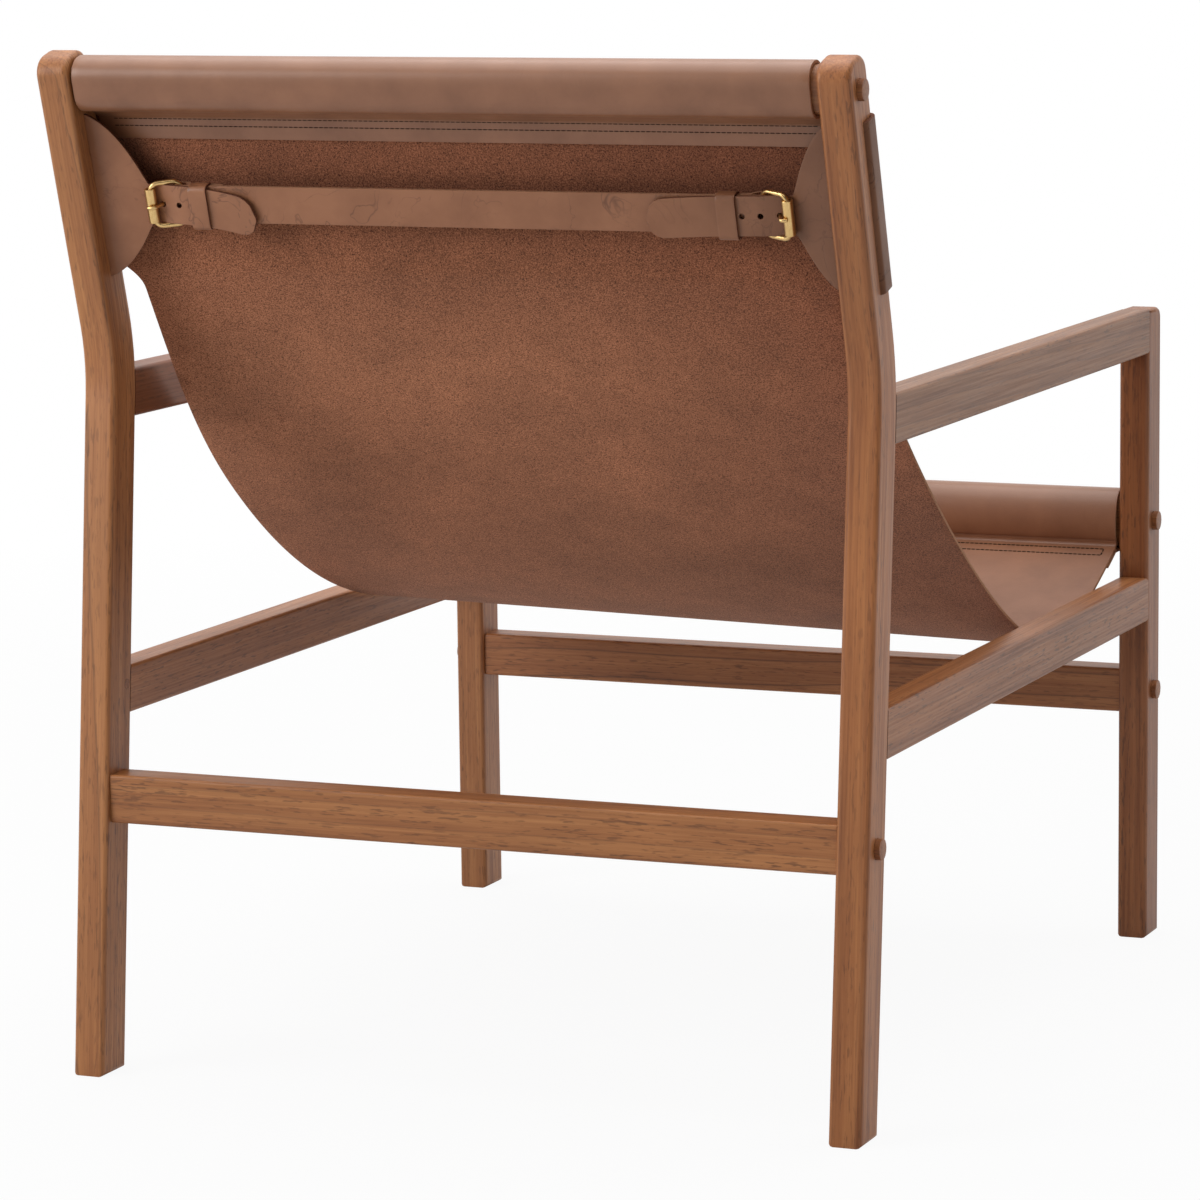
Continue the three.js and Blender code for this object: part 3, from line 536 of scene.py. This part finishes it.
makeCamera()
makeStudio()
smoothLeather = makeSmoothLeather("smoothLeather", False, hide["smoothGloss"])
strapLeather = makeSmoothLeather("strapLeather", True, hide["strapGloss"])
wrapLeather = makeSmoothLeather("wrapLeather", True, hide["wrapGloss"])
suedeSide = makeSuede()
cutEdge = makeCutEdge("cutEdge", hide["edge"], hide["edgeLight"])
flapEdgeFinish = makeCutEdge("flapEdge", hide["flapEdge"], hide["flapEdgeLight"])
polishedBrass = makeBrass()
platedSteel = makeSteel()
waxedThread = makeThread()
print("chair: camera, studio and finishes ready")


# timber: the frame's own solids, with grain that runs along each piece

timbers = {   # node: grain direction, seed, tone, tilt and strength of the growth lines; the tone is partly the wood's own and partly painted light and shade
    "left_rear_leg": ("post", 1.0, (1.24, 1.26, 1.28), 0.06, 0.55),
    "right_rear_leg": ("post", 2.3, (1.15, 1.08, 1.04), 0.02, 0.3),
    "left_front_leg": ("z", 3.1, (1.14, 1.16, 1.20), 0.03, 0.3),
    "right_front_leg": ("z", 4.6, (0.84, 0.75, 0.73), 0.02, 0.3),
    "left_arm": ("y", 5.2, (0.70, 0.58, 0.62), 0.04, 0.3),
    "right_arm": ("y", 6.7, (0.79, 0.80, 0.78), 0.05, 0.55),
    "left_side_rail": ("y", 7.4, (1.12, 1.10, 1.10), 0.03, 0.4),
    "right_side_rail": ("y", 8.5, (0.92, 0.88, 0.86), 0.03, 0.4),
    "top_rail": ("x", 9.1, (0.78, 0.74, 0.74), 0.02, 0.3),
    "front_seat_rail": ("x", 10.2, (0.86, 0.84, 0.84), 0.02, 0.3),
    "rear_stretcher": ("x", 11.6, (1.16, 1.16, 1.14), 0.03, 0.45),
    "front_stretcher": ("x", 12.3, (1.22, 1.22, 1.30), 0.03, 0.75),
}
solidEdges = {"weld": 0.00001, "sharp": math.radians(38)}


def dressSolid(node, material):
    solid = nodes[node]
    solid.data.materials.clear()
    dress(solid, material)
    pickOnly(solid)
    bpy.ops.object.shade_smooth()
    weld = solid.modifiers.new("Weld", "WELD")
    weld.merge_threshold = solidEdges["weld"]
    split = solid.modifiers.new("Split", "EDGE_SPLIT")
    split.split_angle = solidEdges["sharp"]
    solid.modifiers.new("Normals", "WEIGHTED_NORMAL")


for node, look in timbers.items():
    dressSolid(node, makeWood(node + "Wood", *look))
plugWood = makeWood("plugWood", "x", 13.5, (0.90, 0.84, 0.82))
tenonWood = makeWood("tenonWood", "y", 14.2)
for node in nodes:
    if node.endswith(("_plug", "_peg")):
        dressSolid(node, plugWood)
    elif node.endswith("_tenon"):
        dressSolid(node, tenonWood)
    elif node.endswith(("_bolt", "_nut")):
        dressSolid(node, platedSteel)
print("chair: timber dressed")


# leather sling: one ribbon from the hem behind the top roll, down the back and seat,
# to the hem under the front roll

sling = {
    "thickness": 0.003, "layerGap": 0.00012,
    "topHalf": {"left": 0.3130, "right": 0.3090}, "waistHalf": {"left": 0.3015, "right": 0.2990},
    "seatHalf": {"left": 0.3130, "right": 0.3128},
    "waistCorner": 0.018, "flareHeight": {"left": 0.20, "right": 0.135},
    "sheetW": -0.0219, "earTop": -0.026, "earBottom": -0.164, "earRows": 24,
    "rollGap": 0.0019, "rollRadius": 0.0139,
    "hemDrop": 0.0315, "hemBend": 0.0064, "hemCorner": 0.0128, "hemTurn": -0.0032,
    "sheetBend": 0.0128, "sheetLeave": 0.0048, "sheetTurn": -0.0225,
    "lowSetback": {"left": 0.1806, "right": 0.1956}, "lowHeight": {"left": 0.3167, "right": 0.3003},
    "backHandle": {"left": 0.0635, "right": 0.1044}, "rearHandle": {"left": 0.3064, "right": 0.1551},
    "backAngle": math.radians(27.6),
    "frontHandle": 0.042, "creaseHandle": 0.046, "creaseAngle": math.radians(24.7), "creaseDrop": 0.022,
    "creaseRadius": 0.005, "frontHem": 0.036,
    "bulgeRise": 0.004, "bulgeOut": 0.007, "bulgeLow": 0.012, "bulgeTop": 0.021, "bulgeSteps": 18,
    "columns": 84, "backSteps": 84, "frontSteps": 26, "step": 0.0075, "softEdge": 0.0005,
}
flap = {
    "outerX": 0.3448, "slotX": 0.3155, "wrapRadius": 0.0062, "slotRadius": 0.0040, "slotW": 0.0,
    "straight": 0.006, "bend": 0.025, "dip": 0.004,
    "topSwell": 0.004, "bottomSwell": 0.006, "innerHandle": 0.26, "outerHandle": 0.86,
    "ripple": 0.0008, "ripplesAcross": 24, "ripplesUp": 15,
    "tongueHalf": 0.0163, "tipX": {"left": 0.176, "right": 0.159}, "tipRadius": 0.015, "tipLift": 0.0016,
    "droop": {"left": 0.0105, "right": 0.0035},
    "liftStart": 0.55, "slackEase": 0.012, "slackEdge": 0.004, "shoulderGap": 0.0045, "wrapReach": 0.004,
    "holeInset": 0.0085, "holeSpacing": 0.015, "holeRadius": 0.0024, "holes": 3,
    "holeCut": 0.009, "holeBack": 0.001,
    "step": 0.004,
}
# outer side, inner side and cut edge of the seat, the flaps and the wraps
sheetFinish = (smoothLeather, suedeSide, cutEdge, strapLeather, suedeSide, flapEdgeFinish,
               wrapLeather, suedeSide, flapEdgeFinish)
finishOf = {"flap": 3, "wrap": 6}
frontRail = centreOf("front_seat_rail")
strapV = toBack(joints["left_roller_turn"]["pos_m"])[2]
rollerX = {side: abs(joints[side + "_roller_turn"]["pos_m"][0]) for side in sides}
anchorX = {side: abs(joints[side + "_prong_turn"]["pos_m"][0]) for side in sides}
shoulderX = {side: rollerX[side] + flap["shoulderGap"] for side in sides}


def railHalf(node, turned):
    # half depth and half height of a roll bar, from its box
    low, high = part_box(node)
    half = (high - low) / 2
    if not turned:
        return half.y, half.z
    c, s = math.cos(back["lean"]), math.sin(back["lean"])
    # its rounded corners change what the box of a leaning bar holds
    radius = sling["rollRadius"] - sling["rollGap"]
    y, z = half.y - radius, half.z - radius
    spread = c * c - s * s
    return (y * c - z * s) / spread + radius, (z * c - y * s) / spread + radius


def slingLine(x):
    # the ribbon's centre line at one place across, as points in the Y and Z directions
    s = sling
    depth, height = (half + s["rollGap"] for half in railHalf("top_rail", True))
    hemW = s["sheetW"] + s["thickness"] + s["layerGap"]
    radius = s["rollRadius"]
    top = roundedLine([
        (hemW, -height - s["hemDrop"]),
        (hemW, -height - s["hemCorner"], s["hemBend"]),
        (s["hemTurn"], -height, s["hemBend"]),
        (depth, -height, radius), (depth, height, radius), (-depth, height, radius),
        (-depth, -s["sheetLeave"], s["hemBend"]),
        (s["sheetW"], s["sheetTurn"], s["sheetBend"]),
        (s["sheetW"], s["earTop"]),
    ], s["step"])
    rows = s["earRows"]
    heights = [mixed(s["earTop"], s["earBottom"], k / rows) for k in range(1, rows + 1)]
    top += [Vector((s["sheetW"], v)) for v in heights]
    line = [Vector(onBack(0, *point)[1:]) for point in top]

    depth, height = (half + s["rollGap"] for half in railHalf("front_seat_rail", False))
    yFront, zFront = frontRail.y, frontRail.z
    backEnd = line[-1]
    share = (x + s["seatHalf"]["right"]) / sum(s["seatHalf"].values())

    def across(name):
        return mixed(s[name]["right"], s[name]["left"], share)

    low = Vector((yFront + across("lowSetback"), across("lowHeight")))
    crease = Vector((yFront + depth, zFront - s["creaseDrop"]))
    backSlope = Vector((-math.sin(s["backAngle"]), -math.cos(s["backAngle"])))
    creaseSlope = Vector((math.cos(s["creaseAngle"]), -math.sin(s["creaseAngle"])))
    level = Vector((1, 0))
    fromBack = backEnd + backSlope * across("backHandle")
    fromLow = low + level * across("rearHandle")
    line += bezierLine(backEnd, fromBack, fromLow, low, s["backSteps"])[1:]
    pastLow = low - level * s["frontHandle"]
    toCrease = crease + creaseSlope * s["creaseHandle"]
    front = bezierLine(low, pastLow, toCrease, crease, s["frontSteps"])
    line += front[1:-1]
    hem = hemUnder(front)
    # the loose leather bulges behind the front bar
    foot = crease + Vector((s["bulgeOut"] * s["bulgeRise"] / s["bulgeLow"], s["bulgeRise"]))
    top = Vector((yFront + depth - radius, zFront + height))
    bend = [tuple(front[-2]), (crease.x, crease.y, s["creaseRadius"]), tuple(foot)]
    line += roundedLine(bend, s["step"])[1:]
    belly = crease + Vector((s["bulgeOut"], s["bulgeLow"]))
    line += bezierLine(foot, belly, top + level * s["bulgeTop"], top, s["bulgeSteps"])[1:]
    roll = roundedLine([
        tuple(top), (yFront - depth, zFront + height, radius),
        (yFront - depth, zFront - height, radius),
        (hem[0].x, zFront - height, s["hemBend"]),
        tuple(hem[1]),
    ], s["step"])
    return line + roll[1:] + hem[2:]


def hemUnder(front):
    # the hem lies one leather's thickness under the seat, from the roll backwards
    below = sling["thickness"] + sling["layerGap"]
    line = []
    gone = 0
    for nearer, here in zip(front[::-1], front[-2::-1]):
        ahead = (here - nearer).normalized()
        line.append(nearer + Vector((ahead.y, -ahead.x)) * below)
        gone += (here - nearer).length
        if gone > sling["frontHem"]:
            return line


def slingHalf(side, z, backEndZ):
    top, waist, seat = (sling[level][side] for level in ("topHalf", "waistHalf", "seatHalf"))
    below = max(backEndZ - z, 0)
    corner = max(1 - below / sling["waistCorner"], 0) ** 2
    flare = eased(below, sling["waistCorner"], sling["flareHeight"][side])
    return waist + (top - waist) * corner + (seat - waist) * flare


def gridPiece(name, columns, rows, place):
    bpy.ops.object.select_all(action="DESELECT")
    bpy.ops.mesh.primitive_grid_add(x_subdivisions=columns, y_subdivisions=rows, size=2)
    piece = bpy.context.object
    piece.name = name
    for point in piece.data.vertices:
        point.co = place(round((point.co.x + 1) / 2 * columns), round((point.co.y + 1) / 2 * rows))
    return piece


def makeSheet():
    s = sling
    columns = s["columns"]
    seat = s["seatHalf"]
    lines = [slingLine(mixed(-seat["right"], seat["left"], k / columns)) for k in range(columns + 1)]
    backEndZ = onBack(0, s["sheetW"], s["earBottom"]).z
    topRows = len(lines[0])

    def place(column, row):
        point = lines[column][row]
        left, right = (slingHalf(side, point.y, backEndZ) for side in sides)
        return Vector((mixed(-right, left, column / columns), point.x, point.y))

    return gridPiece("leatherSling", columns, topRows - 1, place), lines[columns // 2]


def flapEdge(shoulder, x, start, end, swell):
    # height of the flap's curved edge at a place between the buckle and the post
    width = flap["slotX"] - shoulder
    xs = (shoulder, shoulder + swell, shoulder + width / 2, flap["slotX"])
    rise = end - start
    vs = (start, start + rise * flap["innerHandle"], start + rise * flap["outerHandle"], end)
    low, high = 0.0, 1.0
    for _ in range(30):
        t = (low + high) / 2
        weights = ((1 - t) ** 3, 3 * t * (1 - t) ** 2, 3 * t * t * (1 - t), t ** 3)
        if sum(a * b for a, b in zip(weights, xs)) < x:
            low = t
        else:
            high = t
    return sum(a * b for a, b in zip(weights, vs))


def droopAt(side, x):
    # how far the tongue hangs down at a place between the buckle's bar and its tip
    anchor = anchorX[side]
    out = max(anchor - x, 0) / (anchor - flap["tipX"][side])
    return flap["droop"][side] * out ** 1.5


def makeEar(side):
    f = flap
    sign = sides[side]
    tip, roller, anchor, shoulder = f["tipX"][side], rollerX[side], anchorX[side], shoulderX[side]
    line = roundedLine([
        (sling["topHalf"][side], sling["sheetW"]),
        (f["outerX"], sling["sheetW"], f["wrapRadius"]),
        (f["outerX"], f["slotW"], f["slotRadius"]),
        (f["slotX"] - f["straight"], f["slotW"], f["bend"]),
        (roller, f["slotW"] - f["dip"], f["bend"]),
        (anchor, f["slotW"], f["bend"]),
        (tip, f["slotW"]),
    ], f["step"])
    slotAt = min(k for k, point in enumerate(line) if point.y > f["slotW"] - 1e-5)
    rows = sling["earRows"]

    def place(column, row):
        x, w = line[column]
        high, low = sling["earTop"], sling["earBottom"]
        tongueTop, tongueBottom = strapV + f["tongueHalf"], strapV - f["tongueHalf"]
        if column > slotAt and x < f["slotX"]:
            if x > shoulder:
                high = flapEdge(shoulder, x, tongueTop, high, f["topSwell"])
                low = flapEdge(shoulder, x, tongueBottom, low, f["bottomSwell"])
            else:
                inTip = max(tip + f["tipRadius"] - x, 0)
                inset = f["tipRadius"] - math.sqrt(max(f["tipRadius"] ** 2 - inTip ** 2, 0))
                high, low = tongueTop - inset, tongueBottom + inset
        v = mixed(high, low, row / rows)
        lift = f["tipLift"] * eased(anchor - x, f["liftStart"] * (anchor - tip), anchor - tip)
        if column > slotAt:
            slack = eased(x, shoulder, shoulder + f["slackEase"])
            slack *= eased(f["slotX"] - x, f["slackEdge"], f["slackEase"])
            wave = noise.noise(Vector((x * f["ripplesAcross"], v * f["ripplesUp"], sign)))
            lift += f["ripple"] * slack * wave
        return onBack(sign * x, w + lift, v - droopAt(side, x))

    ear = gridPiece(side + "Ear", len(line) - 1, rows, place)
    dress(ear, *sheetFinish)
    for face in ear.data.polygons:   # duller where it is pulled round the post
        wrapped = abs(face.center.x) > f["outerX"] - f["wrapReach"]
        face.material_index = finishOf["wrap"] if wrapped else finishOf["flap"]
    return ear, lineLength(line)


def makeSling():
    sheet, middleLine = makeSheet()
    dress(sheet, *sheetFinish)
    ears = [makeEar(side) for side in sides]
    pickOnly(sheet)
    for ear, _ in ears:
        ear.select_set(True)
    bpy.ops.object.join()
    mergeAndTurn(sheet, lambda face: face.center.z, Vector((0, 0, 1)))
    area = sum(face.area for face in sheet.data.polygons)
    applyModifier(sheet, "SOLIDIFY", thickness=sling["thickness"], offset=0.0,
                  material_offset=1, material_offset_rim=2)
    softenEdges(sheet, sling["softEdge"])
    width = sum(sling["topHalf"].values()) + sum(length for _, length in ears)
    return sheet, (width, lineLength(middleLine)), area


def softenEdges(piece, size):
    # rounds the cut edges of a leather piece a little
    pickOnly(piece)
    bpy.ops.object.mode_set(mode="EDIT")
    bpy.ops.mesh.select_mode(type="EDGE")
    bpy.ops.mesh.select_all(action="DESELECT")
    bpy.ops.mesh.edges_select_sharp(sharpness=math.radians(60))
    bpy.ops.mesh.bevel(offset=size, segments=2, profile=0.6)
    bpy.ops.object.mode_set(mode="OBJECT")
    smoothByAngle(piece)


def punchHoles(sheet):
    # the tongue's holes, right through the leather
    facing = backRear.to_track_quat("Z", "Y").to_euler()
    for side, sign in sides.items():
        for k in range(flap["holes"]):
            x = rollerX[side] - flap["holeInset"] - k * flap["holeSpacing"]
            centre = onBack(sign * x, flap["slotW"] - flap["holeBack"], strapV - droopAt(side, x))
            bpy.ops.mesh.primitive_cylinder_add(
                vertices=24, radius=flap["holeRadius"], depth=flap["holeCut"],
                location=centre, rotation=facing)
            punch = bpy.context.object
            dress(punch, flapEdgeFinish)
            applyModifier(sheet, "BOOLEAN", object=punch, operation="DIFFERENCE", solver="EXACT")
            bpy.data.objects.remove(punch)


leatherSling, slingFlat, slingArea = makeSling()
punchHoles(leatherSling)
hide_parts("leather_sling")
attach(leatherSling, "chair")
print("chair: sling cut from", [round(size, 3) for size in slingFlat], "m")


# seams: short dark stitches on the hems of both rolls

seam = {
    "pitch": 0.0044, "stitch": 0.0040, "topRadius": 0.00044, "frontRadius": 0.00075, "sink": 0.0001,
    "topW": -0.0075, "topV": (-0.0355, -0.0415), "topHalf": 0.300,
    "creaseBack": (0.0095, 0.0190), "frontHalf": 0.303,
    "sides": 6, "castFrom": 0.02, "castReach": 0.05,
}


def stitchRow(ends, facing):
    # place, facing direction and run of every stitch from one end of a seam to the other
    start, end = ends
    count = max(1, round((end - start).length / seam["pitch"]))
    places = []
    for k in range(count):
        middle = start.lerp(end, (k + 0.5) / count)
        hit, point, normal, _ = leatherSling.ray_cast(middle, -facing, distance=seam["castReach"])
        if hit:
            places.append((point, normal, (end - start).normalized()))
    return places


def makeSeam(name, places, radius):
    points, faces = [], []
    rings = ((-0.5, 0.25), (-0.42, 0.8), (-0.2, 1.0), (0.2, 1.0), (0.42, 0.8), (0.5, 0.25))
    count = seam["sides"]
    for point, normal, along in places:
        across = normal.cross(along).normalized()
        along = across.cross(normal).normalized()
        first = len(points)
        for share, wide in rings:
            middle = point + along * share * seam["stitch"] - normal * seam["sink"]
            for k in range(count):
                turn = 2 * math.pi * k / count
                offset = normal * math.cos(turn) + across * math.sin(turn)
                points.append(middle + offset * radius * wide)
        for ring in range(len(rings) - 1):
            for k in range(count):
                a, b = first + ring * count + k, first + ring * count + (k + 1) % count
                faces.append((a, b, b + count, a + count))
        faces.append(tuple(range(first + count - 1, first - 1, -1)))
        faces.append(tuple(range(len(points) - count, len(points))))
    mesh = bpy.data.meshes.new(name)
    mesh.from_pydata(points, [], faces)
    piece = bpy.data.objects.new(name, mesh)
    bpy.context.scene.collection.objects.link(piece)
    pickOnly(piece)
    bpy.ops.object.mode_set(mode="EDIT")
    bpy.ops.mesh.select_all(action="SELECT")
    bpy.ops.mesh.normals_make_consistent(inside=False)
    bpy.ops.object.mode_set(mode="OBJECT")
    bpy.ops.object.shade_smooth()
    dress(piece, waxedThread)
    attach(piece, "chair")
    return piece


def makeSeams():
    bpy.context.view_layer.update()
    half = seam["topHalf"]
    topPlaces = []
    for v in seam["topV"]:
        ends = [onBack(x, seam["topW"], v) for x in (-half, half)]
        topPlaces += stitchRow(ends, backRear)
    creaseY = frontRail.y + railHalf("front_seat_rail", False)[0] + sling["rollGap"]
    half = seam["frontHalf"]
    up = Vector((0, 0, 1))
    z = frontRail.z - sling["creaseDrop"] + seam["castFrom"]
    corners = [Vector((x, creaseY + gap, z)) for x in (-half, half) for gap in seam["creaseBack"]]
    frontPlaces = []
    for a, b in ((0, 2), (1, 3), (0, 1), (2, 3)):
        frontPlaces += stitchRow((corners[a], corners[b]), up)
    return [makeSeam("topHemSeam", topPlaces, seam["topRadius"]),
            makeSeam("frontHemSeam", frontPlaces, seam["frontRadius"])]


seams = makeSeams()
print("chair: seams sewn")


# back strap: a flat strap folded round each buckle's bar

strap = {
    "thickness": 0.003, "half": 0.0155, "w": -0.0034, "gap": 0.0004, "bar": 0.002,
    "fold": 0.038, "pinch": 0.009, "slotHalf": 0.003, "rows": 10, "step": 0.006,
    "foldRound": 0.98, "softEdge": 0.0004,
}


def makeStrap():
    s = strap
    loop = s["bar"] + s["gap"] + s["thickness"] / 2
    anchorW = s["w"] - loop
    foldW = s["w"] - s["thickness"] - s["gap"]

    def foldEnd(side):
        anchor, sign = anchorX[side], sides[side]
        turn = loop * s["foldRound"]
        corners = [
            (anchor - s["fold"], foldW), (anchor - s["pinch"], foldW, s["thickness"]),
            (anchor - s["pinch"] / 2, anchorW - loop, s["thickness"]),
            (anchor + loop, anchorW - loop, turn), (anchor + loop, s["w"], turn),
        ]
        return [(sign * x, w, *rest) for x, w, *rest in corners]

    line = roundedLine(foldEnd("left") + foldEnd("right")[::-1], s["step"])
    shares = [k / s["rows"] for k in range(s["rows"] + 1)]
    slot = s["slotHalf"] / (2 * s["half"])
    middleRow = s["rows"] // 2
    shares[middleRow - 1] = 0.5 - slot   # the two rows beside the middle lie on the slot's sides
    shares[middleRow + 1] = 0.5 + slot

    def place(column, row):
        x, w = line[column]
        return onBack(x, w, strapV + mixed(-s["half"], s["half"], shares[row]))

    piece = gridPiece("backStrap", len(line) - 1, s["rows"], place)
    bpy.ops.object.mode_set(mode="EDIT")
    bpy.ops.mesh.select_mode(type="FACE")
    bpy.ops.mesh.select_all(action="DESELECT")
    bpy.ops.object.mode_set(mode="OBJECT")
    for face in piece.data.polygons:
        x, _, v = toBack(face.center)
        nearBar = abs(x) - anchorX["left" if x > 0 else "right"] > -2 * s["bar"]
        face.select = nearBar and abs(v - strapV) < s["slotHalf"]
    bpy.ops.object.mode_set(mode="EDIT")
    bpy.ops.mesh.delete(type="FACE")
    bpy.ops.object.mode_set(mode="OBJECT")
    mergeAndTurn(piece, lambda face: face.center.y - abs(face.center.x), backRear)
    dress(piece, strapLeather, suedeSide, cutEdge)
    applyModifier(piece, "SOLIDIFY", thickness=s["thickness"], offset=0.0,
                  material_offset=1, material_offset_rim=2)
    softenEdges(piece, s["softEdge"])
    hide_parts("back_strap")
    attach(piece, "chair")


makeStrap()


# keepers: a loose leather loop round the strap and the tongue

keeper = {
    "wall": 0.0025, "half": 0.0178, "front": -0.0092, "rear": 0.0030, "corner": 0.0042,
    "drop": 0.0010, "droopShare": 0.6,
    "columns": 8, "step": 0.004, "softEdge": 0.0008,
}


def makeKeeper(side):
    k = keeper
    low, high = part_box(side + "_strap_keeper")
    x = (low.x + high.x) / 2
    width = high.x - low.x
    v = strapV - k["drop"] - droopAt(side, abs(x)) * k["droopShare"]
    line = roundedLine([
        (0, -k["half"]), (k["rear"], -k["half"], k["corner"]), (k["rear"], k["half"], k["corner"]),
        (k["front"], k["half"], k["corner"]), (k["front"], -k["half"], k["corner"]), (0, -k["half"]),
    ], k["step"])

    def place(column, row):
        w, away = line[row]
        return onBack(x + mixed(-width, width, column / k["columns"]) / 2, w, v + away)

    piece = gridPiece(side + "Keeper", k["columns"], len(line) - 1, place)
    mergeAndTurn(piece, lambda face: face.center.dot(backRear), backRear)
    dress(piece, strapLeather, suedeSide, flapEdgeFinish)
    applyModifier(piece, "SOLIDIFY", thickness=k["wall"], offset=0.0,
                  material_offset=1, material_offset_rim=2)
    softenEdges(piece, k["softEdge"])
    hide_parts(side + "_strap_keeper")
    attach(piece, side + "_keeper")


for side in sides:
    makeKeeper(side)
print("chair: strap and keepers ready")


# roller buckles

buckle = {
    "bar": 0.0021, "halfWidth": 0.0180, "corner": 0.0072,
    "rollerRadius": 0.0045, "rollerHalf": 0.0143, "rollerWall": 0.0020, "rollerEdge": 0.0005,
    "prongRadius": 0.0016, "prongSlant": 0.0055, "prongTip": 0.001, "prongBend": 0.0025, "prongEnd": 0.7,
    "eyeRadius": 0.0034, "clear": 0.0003, "step": 0.004, "prongStep": 0.002,
}


def wirePiece(name, points, radius, closed, tips=1.0):
    # a round wire through points, as a curve that is then made a mesh
    curve = bpy.data.curves.new(name, "CURVE")
    curve.dimensions = "3D"
    curve.bevel_depth = radius
    curve.bevel_resolution = 4
    curve.use_fill_caps = not closed
    spline = curve.splines.new("POLY")
    spline.points.add(len(points) - 1)
    for place, point in zip(spline.points, points):
        place.co = (*point, 1)
    spline.use_cyclic_u = closed
    if not closed:
        spline.points[-1].radius = tips
    piece = bpy.data.objects.new(name, curve)
    bpy.context.scene.collection.objects.link(piece)
    pickOnly(piece)
    bpy.ops.object.convert(target="MESH")
    piece = bpy.context.object
    smoothByAngle(piece)
    dress(piece, polishedBrass)
    return piece


def makeBuckle(side):
    b = buckle
    sign = sides[side]
    rollX, barX = rollerX[side], anchorX[side]
    anchor = Vector(joints[side + "_prong_turn"]["pos_m"])
    axle = Vector(joints[side + "_roller_turn"]["pos_m"])
    reach = (axle - anchor).length
    ahead = (axle - anchor).normalized()

    corners = [(0, -b["halfWidth"], b["corner"]), (reach, -b["halfWidth"], b["corner"]),
               (reach, b["halfWidth"], b["corner"]), (0, b["halfWidth"], b["corner"])]
    loop = roundedLine([(0, 0), *corners, (0, 0)], b["step"])[:-1]
    hoopLine = [anchor + ahead * a + backUp * v for a, v in loop]
    hoop = wirePiece(side + "BuckleFrame", hoopLine, b["bar"], True)
    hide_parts(side + "_buckle_frame")
    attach(hoop, "chair")

    bpy.ops.mesh.primitive_cylinder_add(vertices=40, radius=b["rollerRadius"], depth=2 * b["rollerHalf"],
                                        end_fill_type="NOTHING", location=axle,
                                        rotation=backUp.to_track_quat("Z", "Y").to_euler())
    roller = bpy.context.object
    roller.name = side + "BuckleRoller"
    bpy.ops.object.transform_apply(location=True, rotation=True, scale=True)
    applyModifier(roller, "SOLIDIFY", thickness=b["rollerWall"], offset=-1.0)
    applyModifier(roller, "BEVEL", width=b["rollerEdge"], segments=3, limit_method="ANGLE")
    smoothByAngle(roller)
    dress(roller, polishedBrass)
    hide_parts(side + "_buckle_roller")
    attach(roller, side + "_roller")

    anchorW, rollerW = toBack(anchor)[1], toBack(axle)[1]
    over = rollerW + b["rollerRadius"] + b["clear"] + b["prongRadius"]
    holeX = rollX - flap["holeInset"]
    holeW = flap["slotW"] - flap["dip"] * (1 - flap["holeInset"] / (rollX - barX))
    footX = holeX - b["prongSlant"] * (holeW - anchorW) / (over - anchorW)
    eye = [(barX + b["eyeRadius"] * math.cos(turn), anchorW + b["eyeRadius"] * math.sin(turn))
           for turn in (math.radians(angle) for angle in range(-250, -39, 15))]
    line = eye + roundedLine([
        (barX + b["eyeRadius"] * 1.3, anchorW - b["eyeRadius"] * 0.15), (footX, anchorW, b["prongBend"]),
        (footX + b["prongSlant"], over, b["prongBend"]), (rollX + b["prongTip"], over),
    ], b["prongStep"])
    prongLine = [onBack(sign * x, w, strapV) for x, w in line]
    tine = wirePiece(side + "BuckleProng", prongLine, b["prongRadius"], False, b["prongEnd"])
    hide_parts(side + "_buckle_prong")
    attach(tine, side + "_prong")


for side in sides:
    makeBuckle(side)
print("chair: buckles ready")
